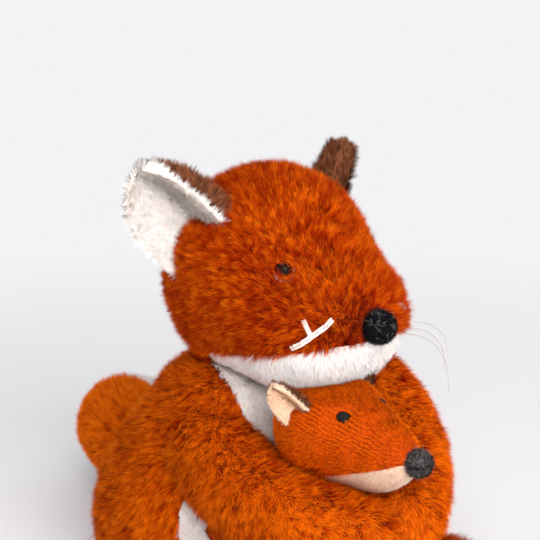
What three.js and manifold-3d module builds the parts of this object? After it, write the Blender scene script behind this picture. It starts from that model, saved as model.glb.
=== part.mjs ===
// A plush fox that sits upright and hugs its cub, in millimetres.
// It faces -Y, its right side is at -X, and it sits on z = 0.
// The solids are the sewn cloth bodies. The pile that stands on them is left out.

import * as THREE from "three";
import { mergeVertices } from "three/addons/utils/BufferGeometryUtils.js";
import Module from "manifold-3d";

const wasm = await Module();
wasm.setup();

// Cloth, seams and cutting
const CLOTH = 1.6; // thickness of the pile cloth's backing
const SEAM_GAP = 0.3; // left between two pieces that are sewn or pressed together
const SEAT_SINK = 0.5; // how deep the seat and the legs are pressed flat
const OVERRUN = 6; // how far a cutter reaches past what it cuts

// Place of the fox's head over the middle of the seat
const HEAD_HEIGHT = 138; // of the middle of the skull
const HEAD_FORWARD = 25;

// Torso
const NECK_DROP = 34; // from the middle of the skull to the top of the torso
const TORSO_HEIGHT = HEAD_HEIGHT - NECK_DROP;
const TORSO_WIDTH = 131;
const TORSO_DEPTH = 106;
const TORSO_LEAN = 22; // how far the neck leans forward over the seat
const LEAN_POWER = 1.6;
const NECK_OPENING = 30; // width of the hole between the torso and the head
const TORSO_RADIUS_SHARES = [
  [0, 0.8], [0.07, 0.89], [0.18, 0.97], [0.31, 1], [0.42, 0.985], [0.54, 0.93],
  [0.66, 0.84], [0.77, 0.73], [0.87, 0.64], [0.95, 0.57], [1, 0.42],
];
const SEAT_SHARE = 0.74; // the flat of the seat, of the torso's width

// Belly panel, seen from the front: height of the torso and half of its width
const BELLY_OUTLINE_SHARES = [
  [0.08, 0], [0.1, 0.4], [0.2, 0.66], [0.4, 0.76], [0.58, 0.68], [0.8, 0.54], [1.05, 0.4],
];

// Pellet pouch, in the seat
const POUCH_WIDTH = 62;
const POUCH_DEPTH = 56;
const POUCH_HEIGHT = 22;

// Head of the fox, in its own frame with the face towards -Y
const FOX = {
  turn: 14, // degrees to its left
  skullWidth: 84,
  skullDepth: 79,
  skullHeight: 85,
  skullLift: -1,
  muzzleWidth: 77,
  muzzleDepth: 60,
  muzzleHeight: 57,
  muzzleForward: 27,
  muzzleDrop: 15.5,
  bridgeShare: 0.5, // how far the bridge of the nose lies from the skull to the muzzle
  jawRearForward: -2, // where the pale jaw panel ends behind
  jawRearDrop: 28,
  jawRise: 0.16, // rise of its seam for each step forward
  earHeight: 36,
  earWidth: 38,
  earCup: 13,
  earThickness: 5.5,
  liningThickness: 2,
};
// Head of the cub
const CUB = {
  turn: 17,
  skullWidth: 45,
  skullDepth: 44,
  skullHeight: 40,
  skullLift: 0,
  muzzleWidth: 28,
  muzzleDepth: 42,
  muzzleHeight: 29,
  muzzleForward: 18,
  muzzleDrop: 5.5,
  bridgeShare: 0.5,
  jawRearForward: 7,
  jawRearDrop: 14.8,
  jawRise: 0.31,
  earHeight: 16,
  earWidth: 12.5,
  earCup: 4.5,
  earThickness: 3,
  liningThickness: 1.2,
};
const CUB_DROP = 51; // below the middle of the fox's skull
const CUB_HEIGHT = HEAD_HEIGHT - CUB_DROP;
const CUB_FORWARD = 76;
const CUB_SIDE = -2;

// Directions from the middle of a skull: outwards, backwards, up
const EAR_ROOT_SHARE = [0.87, -0.03, 0.4];
const EAR_AXIS_SHARE = [0.58, 0.3, 0.72];
const EAR_MOUTH_SHARE = [0.752, -0.598, -0.28];
// How deep the ear cups from its outer edge to its inner one, which rolls over towards the head
const EAR_CUP_SHARES = [
  [-1, 0], [-0.8, 0.42], [-0.5, 0.84], [-0.15, 1],
  [0.15, 0.8], [0.38, 0.36], [0.55, 0.16], [0.72, 0.36], [0.85, 0.8],
];
const EAR_INNER_EDGE_SHARE = 0.8;
const EAR_WIDTH_SHARES = [[0, 0.98], [0.25, 1.02], [0.5, 0.96], [0.75, 0.76], [0.92, 0.44], [1, 0.16]];
const EAR_LINING_INNER_SHARE = 0.56; // the lining stops here, on the edge that rolls over
const EAR_LINING_OUTER_SHARE = -0.93;
const EAR_LINING_TOP_SHARE = 0.95;
const FOX_EYE_SHARE = [0.59, -0.79, 0.2];
const CUB_EYE_SHARE = [0.54, -0.71, 0.45];

// Eyes: a domed button on a shank, and a washer that holds it behind the cloth
const EYE_WIDTH = 6;
const EYE_HEIGHT = 2.4;
const SHANK_WIDTH = 2;
const SHANK_LENGTH = 5;
const WASHER_WIDTH = 8;
const WASHER_THICKNESS = 0.8;
const CUB_EYE_WIDTH = 4.4;
const CUB_EYE_HEIGHT = 1.5;

// Felt noses
const FOX_NOSE_WIDTH = 12.8;
const FOX_NOSE_DROP = 13;
const CUB_NOSE_WIDTH = 10;
const CUB_NOSE_DROP = 5;
const NOSE_SEAT_SHARE = 0.3; // of its width that stands inside the line of the muzzle

// Embroidered mark on each cheek: a long stitch and a short branch
const FLOSS_WIDTH = 1.8;
const FLOSS_LIFT = 1.2; // how far the middle of a stitch rises off the cloth
const CHEEK_STITCH_SHARES = { from: [0.55, -0.77, -0.31], to: [0.34, -0.93, -0.15] };
const CHEEK_BRANCH_SHARES = { from: [0.51, -0.85, -0.15], meets: 0.45 };

// Whiskers, from the left cheek alone: reach outwards, forwards and down
const WHISKER_WIDTH = 0.5;
const WHISKER_ROOT_SHARE = [0.41, -0.86, -0.295];
const WHISKER_SPREAD_SHARE = 0.045; // step down the cheek from one to the next
const WHISKERS = [
  { out: 25, forward: 4, down: 17 },
  { out: 26, forward: 3, down: 23 },
  { out: 27, forward: 5, down: 29 },
];
const WHISKER_BEND_SHARES = [[0, 0], [0.59, 0.17], [0.94, 0.6], [1, 1]]; // of its reach and its drop

// Routes of the arms and the cub: side, depth, and height as a share of the head's height
const raised = (route) => route.map(([side, depth, share]) => [side, depth, share * HEAD_HEIGHT]);

// Arms: the near one is the fox's right. The route runs from the shoulder to the paw.
const ARM_WIDTH = 34;
const ARM_RADIUS_SHARES = [[0, 1.02], [0.35, 1.06], [0.7, 1], [1, 0.94]];
const ARM_RIGHT_ROUTE = raised([
  [-30, -20, 0.5652], [-33, -36, 0.5145], [-31, -60, 0.442], [-23, -84, 0.3986], [-8, -103, 0.3696],
]);
const ARM_LEFT_ROUTE = raised([
  [36, -18, 0.6377], [41, -36, 0.6014], [41, -57, 0.5145], [32, -77, 0.4348], [18, -94, 0.3841],
]);
const ARM_SWING = 20; // degrees that an arm opens

// Legs, stretched out on the floor
const LEG_WIDTH = 31;
const LEG_RADIUS_SHARES = [[0, 1.05], [0.5, 0.96], [0.8, 1.02], [1, 1.1]];
const HIP_SIDE = 33;
const HIP_FORWARD = 34;
const FOOT_SIDE = 45;
const FOOT_FORWARD = 108;
const FOOT_LIFT = 2;
const LEG_SWING = 15;

// Tail, which curls behind the seat
const TAIL_WIDTH = 40;
const TAIL_RADIUS_SHARES = [[0, 0.55], [0.25, 0.88], [0.5, 1], [0.75, 0.98], [1, 0.7]];
const TAIL_ROUTE = [
  [0, 46, 23], [-11, 70, 31], [-14, 94, 35], [-6, 117, 35], [14, 136, 31],
];
const TAIL_TIP_SHARE = 0.74; // of the tail's length that is orange
const TAIL_SWING = 12;

// The cub's body and legs, between the chest and the arms
const CUB_BODY_WIDTH = 24;
const CUB_BODY_ROUTE = raised([
  [-2, -77, 0.5362], [-4, -75, 0.4203], [-6, -73, 0.3043],
]);
const CUB_BODY_SHARES = [[0, 0.9], [0.6, 1.05], [1, 1]];
const CUB_LEG_WIDTH = 17;
const CUB_LEG_SHARES = [[0, 0.9], [1, 1]];
const CUB_LEG_RIGHT_ROUTE = raised([
  [-12, -72, 0.3188], [-24, -65, 0.3188], [-35, -53, 0.3261],
]);
const CUB_LEG_LEFT_ROUTE = raised([
  [4, -72, 0.3188], [14, -69, 0.3188], [25, -64, 0.3261],
]);

// Joints
const NECK_PIVOT = { forward: 2, drop: 4 }; // below the top of the torso
const HEAD_NOD = 10; // degrees that the head tips back
const SHOULDER_FORWARD = 14;
const SHOULDER_SIDE = 30;
const RELIEF_STEPS = 7; // angles of a joint's range at which a neighbour is cleared

// Fineness
const FORM_SIDES = 20;
const FORM_ROWS = 12;
const CORE_SIDES = 14;
const CORE_ROWS = 9;
const LIMB_SIDES = 14;
const LIMB_RINGS = 11;
const EAR_RINGS = 7;
const EAR_STEPS = 9;
const FLOSS_SIDES = 6;
const FLOSS_STEPS = 6;
const WHISKER_SIDES = 5;
const WHISKER_STEPS = 8;
const BUTTON_SIDES = 16;
const DOME_STEPS = 5;
const NOSE_SIDES = 16;
const NOSE_ROWS = 10;

const UP = new THREE.Vector3(0, 0, 1);

const vector = (numbers) => new THREE.Vector3(...numbers);

// Finish of each material
const finish = (color, roughness, metalness = 0) =>
  new THREE.MeshStandardMaterial({ color, roughness, metalness });
const RUST_PLUSH = () => finish(0xb04a0c, 0.95);
const WHITE_PLUSH = () => finish(0xeae2dc, 0.95);
const BROWN_PLUSH = () => finish(0x7a4b32, 0.95);
const ORANGE_VELVET = () => finish(0xe0600c, 0.9);
const CREAM_VELVET = () => finish(0xf2d3b4, 0.9);
const BLACK_FELT = () => finish(0x1e1d22, 1);
const GREY_FELT = () => finish(0x3c3634, 1);
const BLACK_BEAD = () => finish(0x0a0808, 0.12);
const WHITE_PLASTIC = () => finish(0xe8e8e4, 0.5);
const WHITE_FLOSS = () => finish(0xf1ece8, 0.7);
const BLACK_FLOSS = () => finish(0x14110f, 0.7);
const WHISKER_HAIR = () => finish(0xd9d2c8, 0.5);
const STUFFING = () => finish(0xf4f2ec, 1);
const POUCH_CLOTH = () => finish(0xd8cfc0, 0.9);

// A closed geometry as a solid that faces outwards
function solidOf(geometry) {
  const bare = geometry.index ? geometry : geometry.clone();
  bare.deleteAttribute("normal");
  bare.deleteAttribute("uv");
  const merged = mergeVertices(bare);
  const vertProperties = new Float32Array(merged.attributes.position.array);
  const triVerts = new Uint32Array(merged.index.array);
  const solid = new wasm.Manifold(new wasm.Mesh({ numProp: 3, vertProperties, triVerts }));
  if (solid.volume() >= 0) return solid;
  for (let i = 0; i < triVerts.length; i += 3) {
    [triVerts[i + 1], triVerts[i + 2]] = [triVerts[i + 2], triVerts[i + 1]];
  }
  return new wasm.Manifold(new wasm.Mesh({ numProp: 3, vertProperties, triVerts }));
}

function geometryOf(solid) {
  const { vertProperties, triVerts, numProp } = solid.getMesh();
  const geometry = new THREE.BufferGeometry();
  const corners = new THREE.InterleavedBuffer(vertProperties, numProp);
  geometry.setAttribute("position", new THREE.InterleavedBufferAttribute(corners, 3, 0));
  geometry.setIndex(Array.from(triVerts));
  const flat = geometry.toNonIndexed();
  flat.computeVertexNormals();
  return flat;
}

const moved = (solid, matrix) => solid.transform(matrix.elements);

const joined = (solids) => solids.reduce((whole, piece) => whole.add(piece));

// A turn about an axis through a pivot
function turnAbout(pivot, axis, degrees) {
  const there = new THREE.Matrix4().makeTranslation(pivot);
  const turn = new THREE.Matrix4().makeRotationAxis(axis, THREE.MathUtils.degToRad(degrees));
  const back = new THREE.Matrix4().makeTranslation(pivot.clone().negate());
  return there.multiply(turn).multiply(back);
}

// What is left of a solid once a neighbour has swept through it
function clearedOf(solid, neighbour, joint, sense = 1) {
  let left = solid;
  for (let step = 0; step < RELIEF_STEPS; step += 1) {
    for (const limit of joint.limits) {
      if (step > 0 && limit === 0) continue;
      const angle = (sense * limit * step) / (RELIEF_STEPS - 1);
      left = left.subtract(moved(neighbour, turnAbout(joint.pivot, joint.axis, angle)));
      if (step === 0) break;
    }
  }
  return left;
}

// A value between the rows of a table of shares, with a smooth change of slope
function shareAt(table, at) {
  const last = table.length - 1;
  if (at <= table[0][0]) return table[0][1];
  if (at >= table[last][0]) return table[last][1];
  const next = table.findIndex(([place]) => place > at);
  const [before, after] = [table[next - 1], table[next]];
  const slope = (i) => {
    const low = table[Math.max(i - 1, 0)];
    const high = table[Math.min(i + 1, last)];
    return (high[1] - low[1]) / (high[0] - low[0]);
  };
  const span = after[0] - before[0];
  const t = (at - before[0]) / span;
  const [t2, t3] = [t * t, t * t * t];
  return (2 * t3 - 3 * t2 + 1) * before[1] + (t3 - 2 * t2 + t) * span * slope(next - 1)
    + (3 * t2 - 2 * t3) * after[1] + (t3 - t2) * span * slope(next);
}

// A closed skin over rings of points, with a middle point that closes each end
function skinned(rings) {
  const sides = rings[0].length;
  const middle = (ring) =>
    ring.reduce((sum, point) => sum.add(point), new THREE.Vector3()).divideScalar(sides);
  const points = [middle(rings[0]), ...rings.flat(), middle(rings[rings.length - 1])];
  const faces = [];
  const corner = (ring, side) => 1 + ring * sides + (side % sides);
  for (let side = 0; side < sides; side += 1) {
    faces.push(0, corner(0, side + 1), corner(0, side));
    faces.push(points.length - 1, corner(rings.length - 1, side), corner(rings.length - 1, side + 1));
    for (let ring = 0; ring + 1 < rings.length; ring += 1) {
      const [a, b] = [corner(ring, side), corner(ring, side + 1)];
      const [c, d] = [corner(ring + 1, side), corner(ring + 1, side + 1)];
      faces.push(a, b, d, a, d, c);
    }
  }
  const geometry = new THREE.BufferGeometry().setFromPoints(points);
  geometry.setIndex(faces);
  return solidOf(geometry);
}

// An oval ring of points about a middle
function ovalRing(middle, across, along, sides) {
  const ring = [];
  for (let i = 0; i < sides; i += 1) {
    const angle = (2 * Math.PI * i) / sides;
    ring.push(middle.clone()
      .addScaledVector(across, Math.cos(angle))
      .addScaledVector(along, Math.sin(angle)));
  }
  return ring;
}

// The world axis that a route follows least
function crossAxis(route) {
  const span = route[route.length - 1].clone().sub(route[0]);
  return Math.abs(span.x) < Math.abs(span.y) ? new THREE.Vector3(1, 0, 0) : UP;
}

// A stuffed tube along a route, round at both ends
function limb(route, width, shares, grow = 0) {
  const points = route.map(vector);
  const curve = new THREE.CatmullRomCurve3(points, false, "centripetal");
  const length = curve.getLength();
  const reference = crossAxis(points);
  const radiusAt = (t) => (width / 2) * shareAt(shares, t) + grow;
  const [headCap, tailCap] = [radiusAt(0), radiusAt(1)];
  const full = length + headCap + tailCap;
  const rings = [];
  for (let i = 1; i < LIMB_RINGS; i += 1) {
    const place = ((1 - Math.cos((Math.PI * i) / LIMB_RINGS)) / 2) * full - headCap;
    const t = Math.min(Math.max(place / length, 0), 1);
    const past = place < 0 ? -place / headCap : Math.max(place - length, 0) / tailCap;
    const radius = radiusAt(t) * Math.sqrt(1 - past * past);
    const tangent = curve.getTangentAt(t);
    const middle = curve.getPointAt(t).addScaledVector(tangent, place - t * length);
    const across = new THREE.Vector3().crossVectors(tangent, reference).normalize();
    const along = new THREE.Vector3().crossVectors(across, tangent);
    rings.push(ovalRing(middle, across.multiplyScalar(radius), along.multiplyScalar(radius), LIMB_SIDES));
  }
  return skinned(rings);
}

// A thin tube along points, cut square at both ends
function thread(points, width, sides, steps) {
  const [across, along] = [new THREE.Vector3(width / 2, 0, 0), new THREE.Vector3(0, width / 2, 0)];
  const ring = ovalRing(new THREE.Vector3(), across, along, sides);
  const section = new THREE.Shape(ring.map((point) => new THREE.Vector2(point.x, point.y)));
  const extrudePath = new THREE.CatmullRomCurve3(points);
  return solidOf(new THREE.ExtrudeGeometry(section, { steps, extrudePath, bevelEnabled: false }));
}

// An oval body about a middle
function oval(middle, width, depth, height, grow, sides, rows) {
  const ball = new THREE.SphereGeometry(1, sides, rows).rotateX(Math.PI / 2);
  ball.scale(width / 2 + grow, depth / 2 + grow, height / 2 + grow);
  return solidOf(ball.translate(middle.x, middle.y, middle.z));
}

// A flat outline pushed along +Z from zero
const pushed = (outline, depth) =>
  solidOf(new THREE.ExtrudeGeometry(new THREE.Shape(outline), { depth, bevelEnabled: false }));

// A box cutter below a height
function below(height, reach) {
  const block = new THREE.BoxGeometry(2 * reach, 2 * reach, reach);
  return solidOf(block.translate(0, 0, height - reach / 2));
}

// Torso

const torsoLean = (share) => -TORSO_LEAN * Math.max(share, 0) ** LEAN_POWER;

// The torso as a pear that leans forward, grown or shrunk by an even amount
function torsoForm(grow, sides, rows) {
  const rings = [];
  const ringAt = (share, radiusShare, height) => ovalRing(
    new THREE.Vector3(0, torsoLean(share), height),
    new THREE.Vector3(Math.max((radiusShare * TORSO_WIDTH) / 2 + grow, CLOTH), 0, 0),
    new THREE.Vector3(0, Math.max((radiusShare * TORSO_DEPTH) / 2 + grow, CLOTH), 0),
    sides,
  );
  rings.push(ringAt(0, SEAT_SHARE, -SEAT_SINK - grow));
  for (let row = 0; row < rows; row += 1) {
    const share = row / (rows - 1);
    const height = SEAT_SINK - grow + share * (TORSO_HEIGHT - SEAT_SINK + 2 * grow);
    rings.push(ringAt(share, shareAt(TORSO_RADIUS_SHARES, share), height));
  }
  return skinned(rings);
}

// The hole between the torso and the head, upright through both
function neckHole() {
  const radius = NECK_OPENING / 2;
  const hole = new THREE.CylinderGeometry(radius, radius, NECK_OPENING + CLOTH, CORE_SIDES);
  hole.rotateX(Math.PI / 2).translate(0, torsoLean(1), TORSO_HEIGHT - CLOTH);
  return solidOf(hole);
}

// The front of the torso inside the belly panel's outline, ahead of the neck's middle
function bellyCutter(grow) {
  const half = (share, side) => side * ((share * TORSO_WIDTH) / 2 + grow);
  const point = ([up, out], side) => new THREE.Vector2(half(out, side), up * TORSO_HEIGHT);
  const right = BELLY_OUTLINE_SHARES.slice(1).map((row) => point(row, 1));
  const left = BELLY_OUTLINE_SHARES.slice(1).map((row) => point(row, -1)).reverse();
  const foot = new THREE.Vector2(0, BELLY_OUTLINE_SHARES[0][0] * TORSO_HEIGHT - grow);
  const rim = new THREE.SplineCurve([...left, foot, ...right]).getPoints(CORE_SIDES + CORE_ROWS);
  const panel = pushed(rim, TORSO_DEPTH);
  return moved(panel, new THREE.Matrix4().makeRotationX(Math.PI / 2).setPosition(0, torsoLean(1), 0));
}

// Pouch of pellets that weighs the seat down
function pouchForm(grow) {
  const floor = CLOTH + SEAM_GAP;
  const bag = oval(new THREE.Vector3(0, 0, floor), POUCH_WIDTH, POUCH_DEPTH, 2 * POUCH_HEIGHT, grow,
    CORE_SIDES, CORE_ROWS);
  return grow > 0 ? bag : bag.subtract(below(floor, TORSO_WIDTH));
}

// Heads

const ovalsOf = (who) => {
  const bridge = (skull, muzzle) => THREE.MathUtils.lerp(skull, muzzle, who.bridgeShare);
  return [
    { forward: 0, lift: who.skullLift, size: [who.skullWidth, who.skullDepth, who.skullHeight] },
    {
      forward: bridge(0, who.muzzleForward),
      lift: bridge(who.skullLift, -who.muzzleDrop),
      size: [bridge(who.skullWidth, who.muzzleWidth), bridge(who.skullDepth, who.muzzleDepth),
        bridge(who.skullHeight, who.muzzleHeight)],
    },
    {
      forward: who.muzzleForward,
      lift: -who.muzzleDrop,
      size: [who.muzzleWidth, who.muzzleDepth, who.muzzleHeight],
    },
  ];
};

// A head as a skull, a bridge and a muzzle that run into each other
function headForm(who, grow, sides, rows) {
  return joined(ovalsOf(who).map(({ forward, lift, size }) =>
    oval(new THREE.Vector3(0, -forward, lift), ...size, grow, sides, rows)));
}

// The point where a ray from a start leaves a head, and the way that the head faces there
function leaving(who, start, direction) {
  const ray = direction.clone().normalize();
  let best = { reach: -1 };
  for (const { forward, lift, size } of ovalsOf(who)) {
    const radii = vector(size).multiplyScalar(1 / 2);
    const from = start.clone().sub(new THREE.Vector3(0, -forward, lift)).divide(radii);
    const way = ray.clone().divide(radii);
    const [a, b, c] = [way.dot(way), from.dot(way), from.dot(from) - 1];
    const inside = b * b - a * c;
    if (inside < 0) continue;
    const reach = (Math.sqrt(inside) - b) / a;
    if (reach > best.reach) {
      const normal = from.addScaledVector(way, reach).divide(radii).normalize();
      best = { reach, point: start.clone().addScaledVector(ray, reach), normal };
    }
  }
  return best;
}

const mirrored = ([out, back, up], side) => new THREE.Vector3(side * out, back, up);

const onHead = (who, shares, side) => leaving(who, new THREE.Vector3(), mirrored(shares, side));

// The side view of the jaw panel, pushed across the whole head
function jawCutter(who, grow) {
  const reach = who.skullDepth;
  const rear = who.jawRearForward - grow;
  const seam = (forward) => who.jawRise * (forward - who.jawRearForward) - who.jawRearDrop + grow;
  const outline = [
    new THREE.Vector2(rear, seam(rear)), new THREE.Vector2(rear, -reach),
    new THREE.Vector2(reach, -reach), new THREE.Vector2(reach, seam(reach)),
  ];
  const block = pushed(outline, 2 * reach);
  const basis = new THREE.Matrix4().makeBasis(
    new THREE.Vector3(0, -1, 0), UP, new THREE.Vector3(-1, 0, 0),
  );
  basis.setPosition(reach, 0, 0);
  return moved(block, basis);
}

// Ears: a cupped leaf whose mouth faces outwards and forwards

function earFrame(who, side) {
  const root = onHead(who, EAR_ROOT_SHARE, side).point;
  const axis = mirrored(EAR_AXIS_SHARE, side).normalize();
  const mouth = mirrored(EAR_MOUTH_SHARE, side);
  mouth.addScaledVector(axis, -mouth.dot(axis)).normalize();
  const inward = new THREE.Vector3().crossVectors(axis, mouth).multiplyScalar(-side);
  return { root, axis, mouth, inward };
}

// A leaf between two shares of the ear's width and two depths behind its mouth
function earLeaf(who, side, { from, to, front, back, top, grow }) {
  const { root, axis, mouth, inward } = earFrame(who, side);
  const sink = who.earThickness + who.earCup;
  const length = top * who.earHeight + sink + grow;
  const rings = [];
  for (let i = 0; i <= EAR_RINGS; i += 1) {
    const height = (length * Math.sin((Math.PI / 2) * (i / EAR_RINGS))) - sink;
    const share = Math.max(height / who.earHeight, 0);
    const half = (who.earWidth / 2) * shareAt(EAR_WIDTH_SHARES, share / top);
    const at = (across, depth) => {
      const bow = who.earCup * shareAt(EAR_CUP_SHARES, across) * (1 - share / 2);
      return root.clone().addScaledVector(axis, height)
        .addScaledVector(inward, across * half + Math.sign(across) * grow)
        .addScaledVector(mouth, -bow - depth);
    };
    const places = Array.from({ length: EAR_STEPS + 1 }, (_, k) => from + ((to - from) * k) / EAR_STEPS);
    const rounding = (across) => Math.sqrt(Math.max(1 - across * across, 0));
    const depthAt = (across) => THREE.MathUtils.lerp(front, back, rounding(across)) + grow;
    const far = places.map((across) => at(across, depthAt(across)));
    const near = places.map((across) => at(across, front - grow - (from > -1 ? OVERRUN : CLOTH))).reverse();
    rings.push([...far, ...near]);
  }
  return skinned(rings);
}

function earPieces(who, side, clear) {
  const whole = earLeaf(who, side, {
    from: -1, to: EAR_INNER_EDGE_SHARE, front: 0, back: who.earThickness - CLOTH, top: 1, grow: 0,
  }).subtract(clear);
  const cutter = (grow) => earLeaf(who, side, {
    from: EAR_LINING_OUTER_SHARE, to: EAR_LINING_INNER_SHARE, front: who.liningThickness - CLOTH,
    back: who.liningThickness - CLOTH, top: EAR_LINING_TOP_SHARE, grow,
  });
  return { lining: whole.intersect(cutter(0)), back: whole.subtract(cutter(SEAM_GAP)) };
}

// Turns +Z to a direction and moves the origin to a point
function facing(point, normal) {
  const turn = new THREE.Quaternion().setFromUnitVectors(UP, normal);
  return new THREE.Matrix4().makeRotationFromQuaternion(turn).setPosition(point);
}

// A round profile about +Z, from points of radius and height
function turned(profile, sides) {
  const lathe = new THREE.LatheGeometry(profile.map(([r, z]) => new THREE.Vector2(r, z)), sides);
  return solidOf(lathe.rotateX(Math.PI / 2));
}

function dome(width, height) {
  const profile = [[0, SEAM_GAP]];
  for (let i = 0; i <= DOME_STEPS; i += 1) {
    const angle = ((Math.PI / 2) * i) / DOME_STEPS;
    const radius = i === DOME_STEPS ? 0 : (width / 2) * Math.cos(angle);
    profile.push([radius, SEAM_GAP + height * Math.sin(angle)]);
  }
  return turned(profile, BUTTON_SIDES);
}

function rod(width, bottom, top) {
  return turned([[0, bottom], [width / 2, bottom], [width / 2, top], [0, top]], BUTTON_SIDES);
}

const eyeButton = () =>
  dome(EYE_WIDTH, EYE_HEIGHT).add(rod(SHANK_WIDTH, -SHANK_LENGTH, SEAM_GAP + EYE_HEIGHT / 2));

// The washer lies on the inner face of the cloth, round the shank
function eyeWasher() {
  const top = -CLOTH - SEAM_GAP;
  const ring = rod(WASHER_WIDTH, top - WASHER_THICKNESS, top);
  return ring.subtract(rod(SHANK_WIDTH + 2 * SEAM_GAP, top - OVERRUN, top + OVERRUN));
}

const eyeHole = () => rod(SHANK_WIDTH + 2 * SEAM_GAP, -CLOTH - OVERRUN, OVERRUN);

// The room that a washer and its shank take up behind the cloth, up to a height
const washerRoom = (top) => rod(WASHER_WIDTH + 2 * SEAM_GAP, -SHANK_LENGTH - SEAM_GAP, top);

// A felt ball pressed against the front of the muzzle
function noseBall(who, width, drop, clear) {
  const start = new THREE.Vector3(0, 0, -drop);
  const { point } = leaving(who, start, new THREE.Vector3(0, -1, 0));
  const middle = point.clone();
  middle.y -= width / 2 - NOSE_SEAT_SHARE * width;
  return oval(middle, width, width, width, 0, NOSE_SIDES, NOSE_ROWS).subtract(clear);
}

// One embroidered stitch along the cheek between two directions, lifted off it by a share
function stitch(who, from, to, liftShare) {
  const points = [];
  for (let i = 0; i <= FLOSS_STEPS; i += 1) {
    const share = i / FLOSS_STEPS;
    const { point, normal } = leaving(who, new THREE.Vector3(), from.clone().lerp(to, share));
    const lift = FLOSS_WIDTH / 2 + SEAM_GAP + FLOSS_LIFT * liftShare(share);
    points.push(point.addScaledVector(normal, lift));
  }
  return thread(points, FLOSS_WIDTH, FLOSS_SIDES, FLOSS_STEPS);
}

// The long stitch arches between its ends, and the branch rises to meet it
function cheekMark(who, side, clear) {
  const [low, high] = [CHEEK_STITCH_SHARES.from, CHEEK_STITCH_SHARES.to].map((way) => mirrored(way, side));
  const { from, meets } = CHEEK_BRANCH_SHARES;
  const arch = (share) => Math.sin(Math.PI * share);
  const rise = (share) => arch(meets) * share;
  const branch = stitch(who, mirrored(from, side), low.clone().lerp(high, meets), rise);
  return stitch(who, low, high, arch).add(branch).subtract(clear);
}

// A whisker that leaves the cheek and droops
function whisker(who, index) {
  const root = [...WHISKER_ROOT_SHARE];
  root[2] -= WHISKER_SPREAD_SHARE * index;
  const { point, normal } = onHead(who, root, 1);
  const { out, forward, down } = WHISKERS[index];
  const start = point.addScaledVector(normal, SEAM_GAP);
  const route = WHISKER_BEND_SHARES.map(([reach, drop]) =>
    start.clone().add(new THREE.Vector3(out * reach, -forward * reach, -down * drop)));
  return thread(route, WHISKER_WIDTH, WHISKER_SIDES, WHISKER_STEPS);
}

// Groups, one for each body that moves and one for each head's own frame

const fox = new THREE.Group();
fox.name = "plush_fox";

function addGroup(parent, x, y, z, degrees = 0) {
  const group = new THREE.Group();
  group.position.set(x, y, z);
  group.rotation.z = THREE.MathUtils.degToRad(degrees);
  parent.add(group);
  group.updateWorldMatrix(true, false);
  return group;
}

// A named mesh for a solid given in the object's own frame
function place(group, name, solid, material) {
  const mesh = new THREE.Mesh(geometryOf(moved(solid, group.matrixWorld.clone().invert())), material);
  mesh.name = name;
  group.add(mesh);
}

const nodDirection = new THREE.Vector3(-1, 0, 0);
const joints = {
  head: {
    pivot: new THREE.Vector3(0, -NECK_PIVOT.forward, TORSO_HEIGHT - NECK_PIVOT.drop),
    axis: nodDirection,
    limits: [HEAD_NOD],
  },
  tail: { pivot: vector(TAIL_ROUTE[0]), axis: UP, limits: [-TAIL_SWING, TAIL_SWING] },
};
for (const [name, side] of [["right", -1], ["left", 1]]) {
  joints[`arm_${name}`] = {
    pivot: new THREE.Vector3(side * SHOULDER_SIDE, -SHOULDER_FORWARD, 0),
    axis: UP.clone().multiplyScalar(side),
    limits: [ARM_SWING],
  };
  joints[`leg_${name}`] = {
    pivot: new THREE.Vector3(side * HIP_SIDE, -HIP_FORWARD, 0),
    axis: UP.clone().multiplyScalar(side),
    limits: [LEG_SWING],
  };
}

// A soft piece that rides on a joint, cleared of a fixed neighbour over the joint's range
const rider = (solid, fixed, joint) => clearedOf(solid, fixed, joint, -1);

const headGroup = addGroup(fox, 0, -HEAD_FORWARD, HEAD_HEIGHT, FOX.turn);
const cubHeadGroup = addGroup(fox, CUB_SIDE, -CUB_FORWARD, CUB_HEIGHT, CUB.turn);
const inHead = (solid) => moved(solid, headGroup.matrixWorld);
const inCubHead = (solid) => moved(solid, cubHeadGroup.matrixWorld);

// What the smaller pieces are cut by
const headClear = inHead(headForm(FOX, SEAM_GAP, FORM_SIDES, FORM_ROWS));
const torsoClear = torsoForm(SEAM_GAP, FORM_SIDES, FORM_ROWS);
const cubHeadClear = inCubHead(headForm(CUB, SEAM_GAP, FORM_SIDES, FORM_ROWS));
const floorClear = below(0, TORSO_HEIGHT + TORSO_WIDTH);

function buildTorso() {
  const outer = torsoForm(0, FORM_SIDES, FORM_ROWS).subtract(floorClear);
  const hollow = torsoForm(-CLOTH, CORE_SIDES, CORE_ROWS);
  const shell = clearedOf(outer.subtract(hollow).subtract(neckHole()), headClear, joints.head);
  place(fox, "torso_skin", shell.subtract(bellyCutter(SEAM_GAP)), RUST_PLUSH());
  place(fox, "belly_panel", shell.intersect(bellyCutter(0)), WHITE_PLUSH());
  const filling = torsoForm(-CLOTH - SEAM_GAP, CORE_SIDES, CORE_ROWS).subtract(pouchForm(SEAM_GAP));
  place(fox, "torso_stuffing", clearedOf(filling, headClear, joints.head), STUFFING());
  place(fox, "pellet_pouch", pouchForm(0), POUCH_CLOTH());
}

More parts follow.
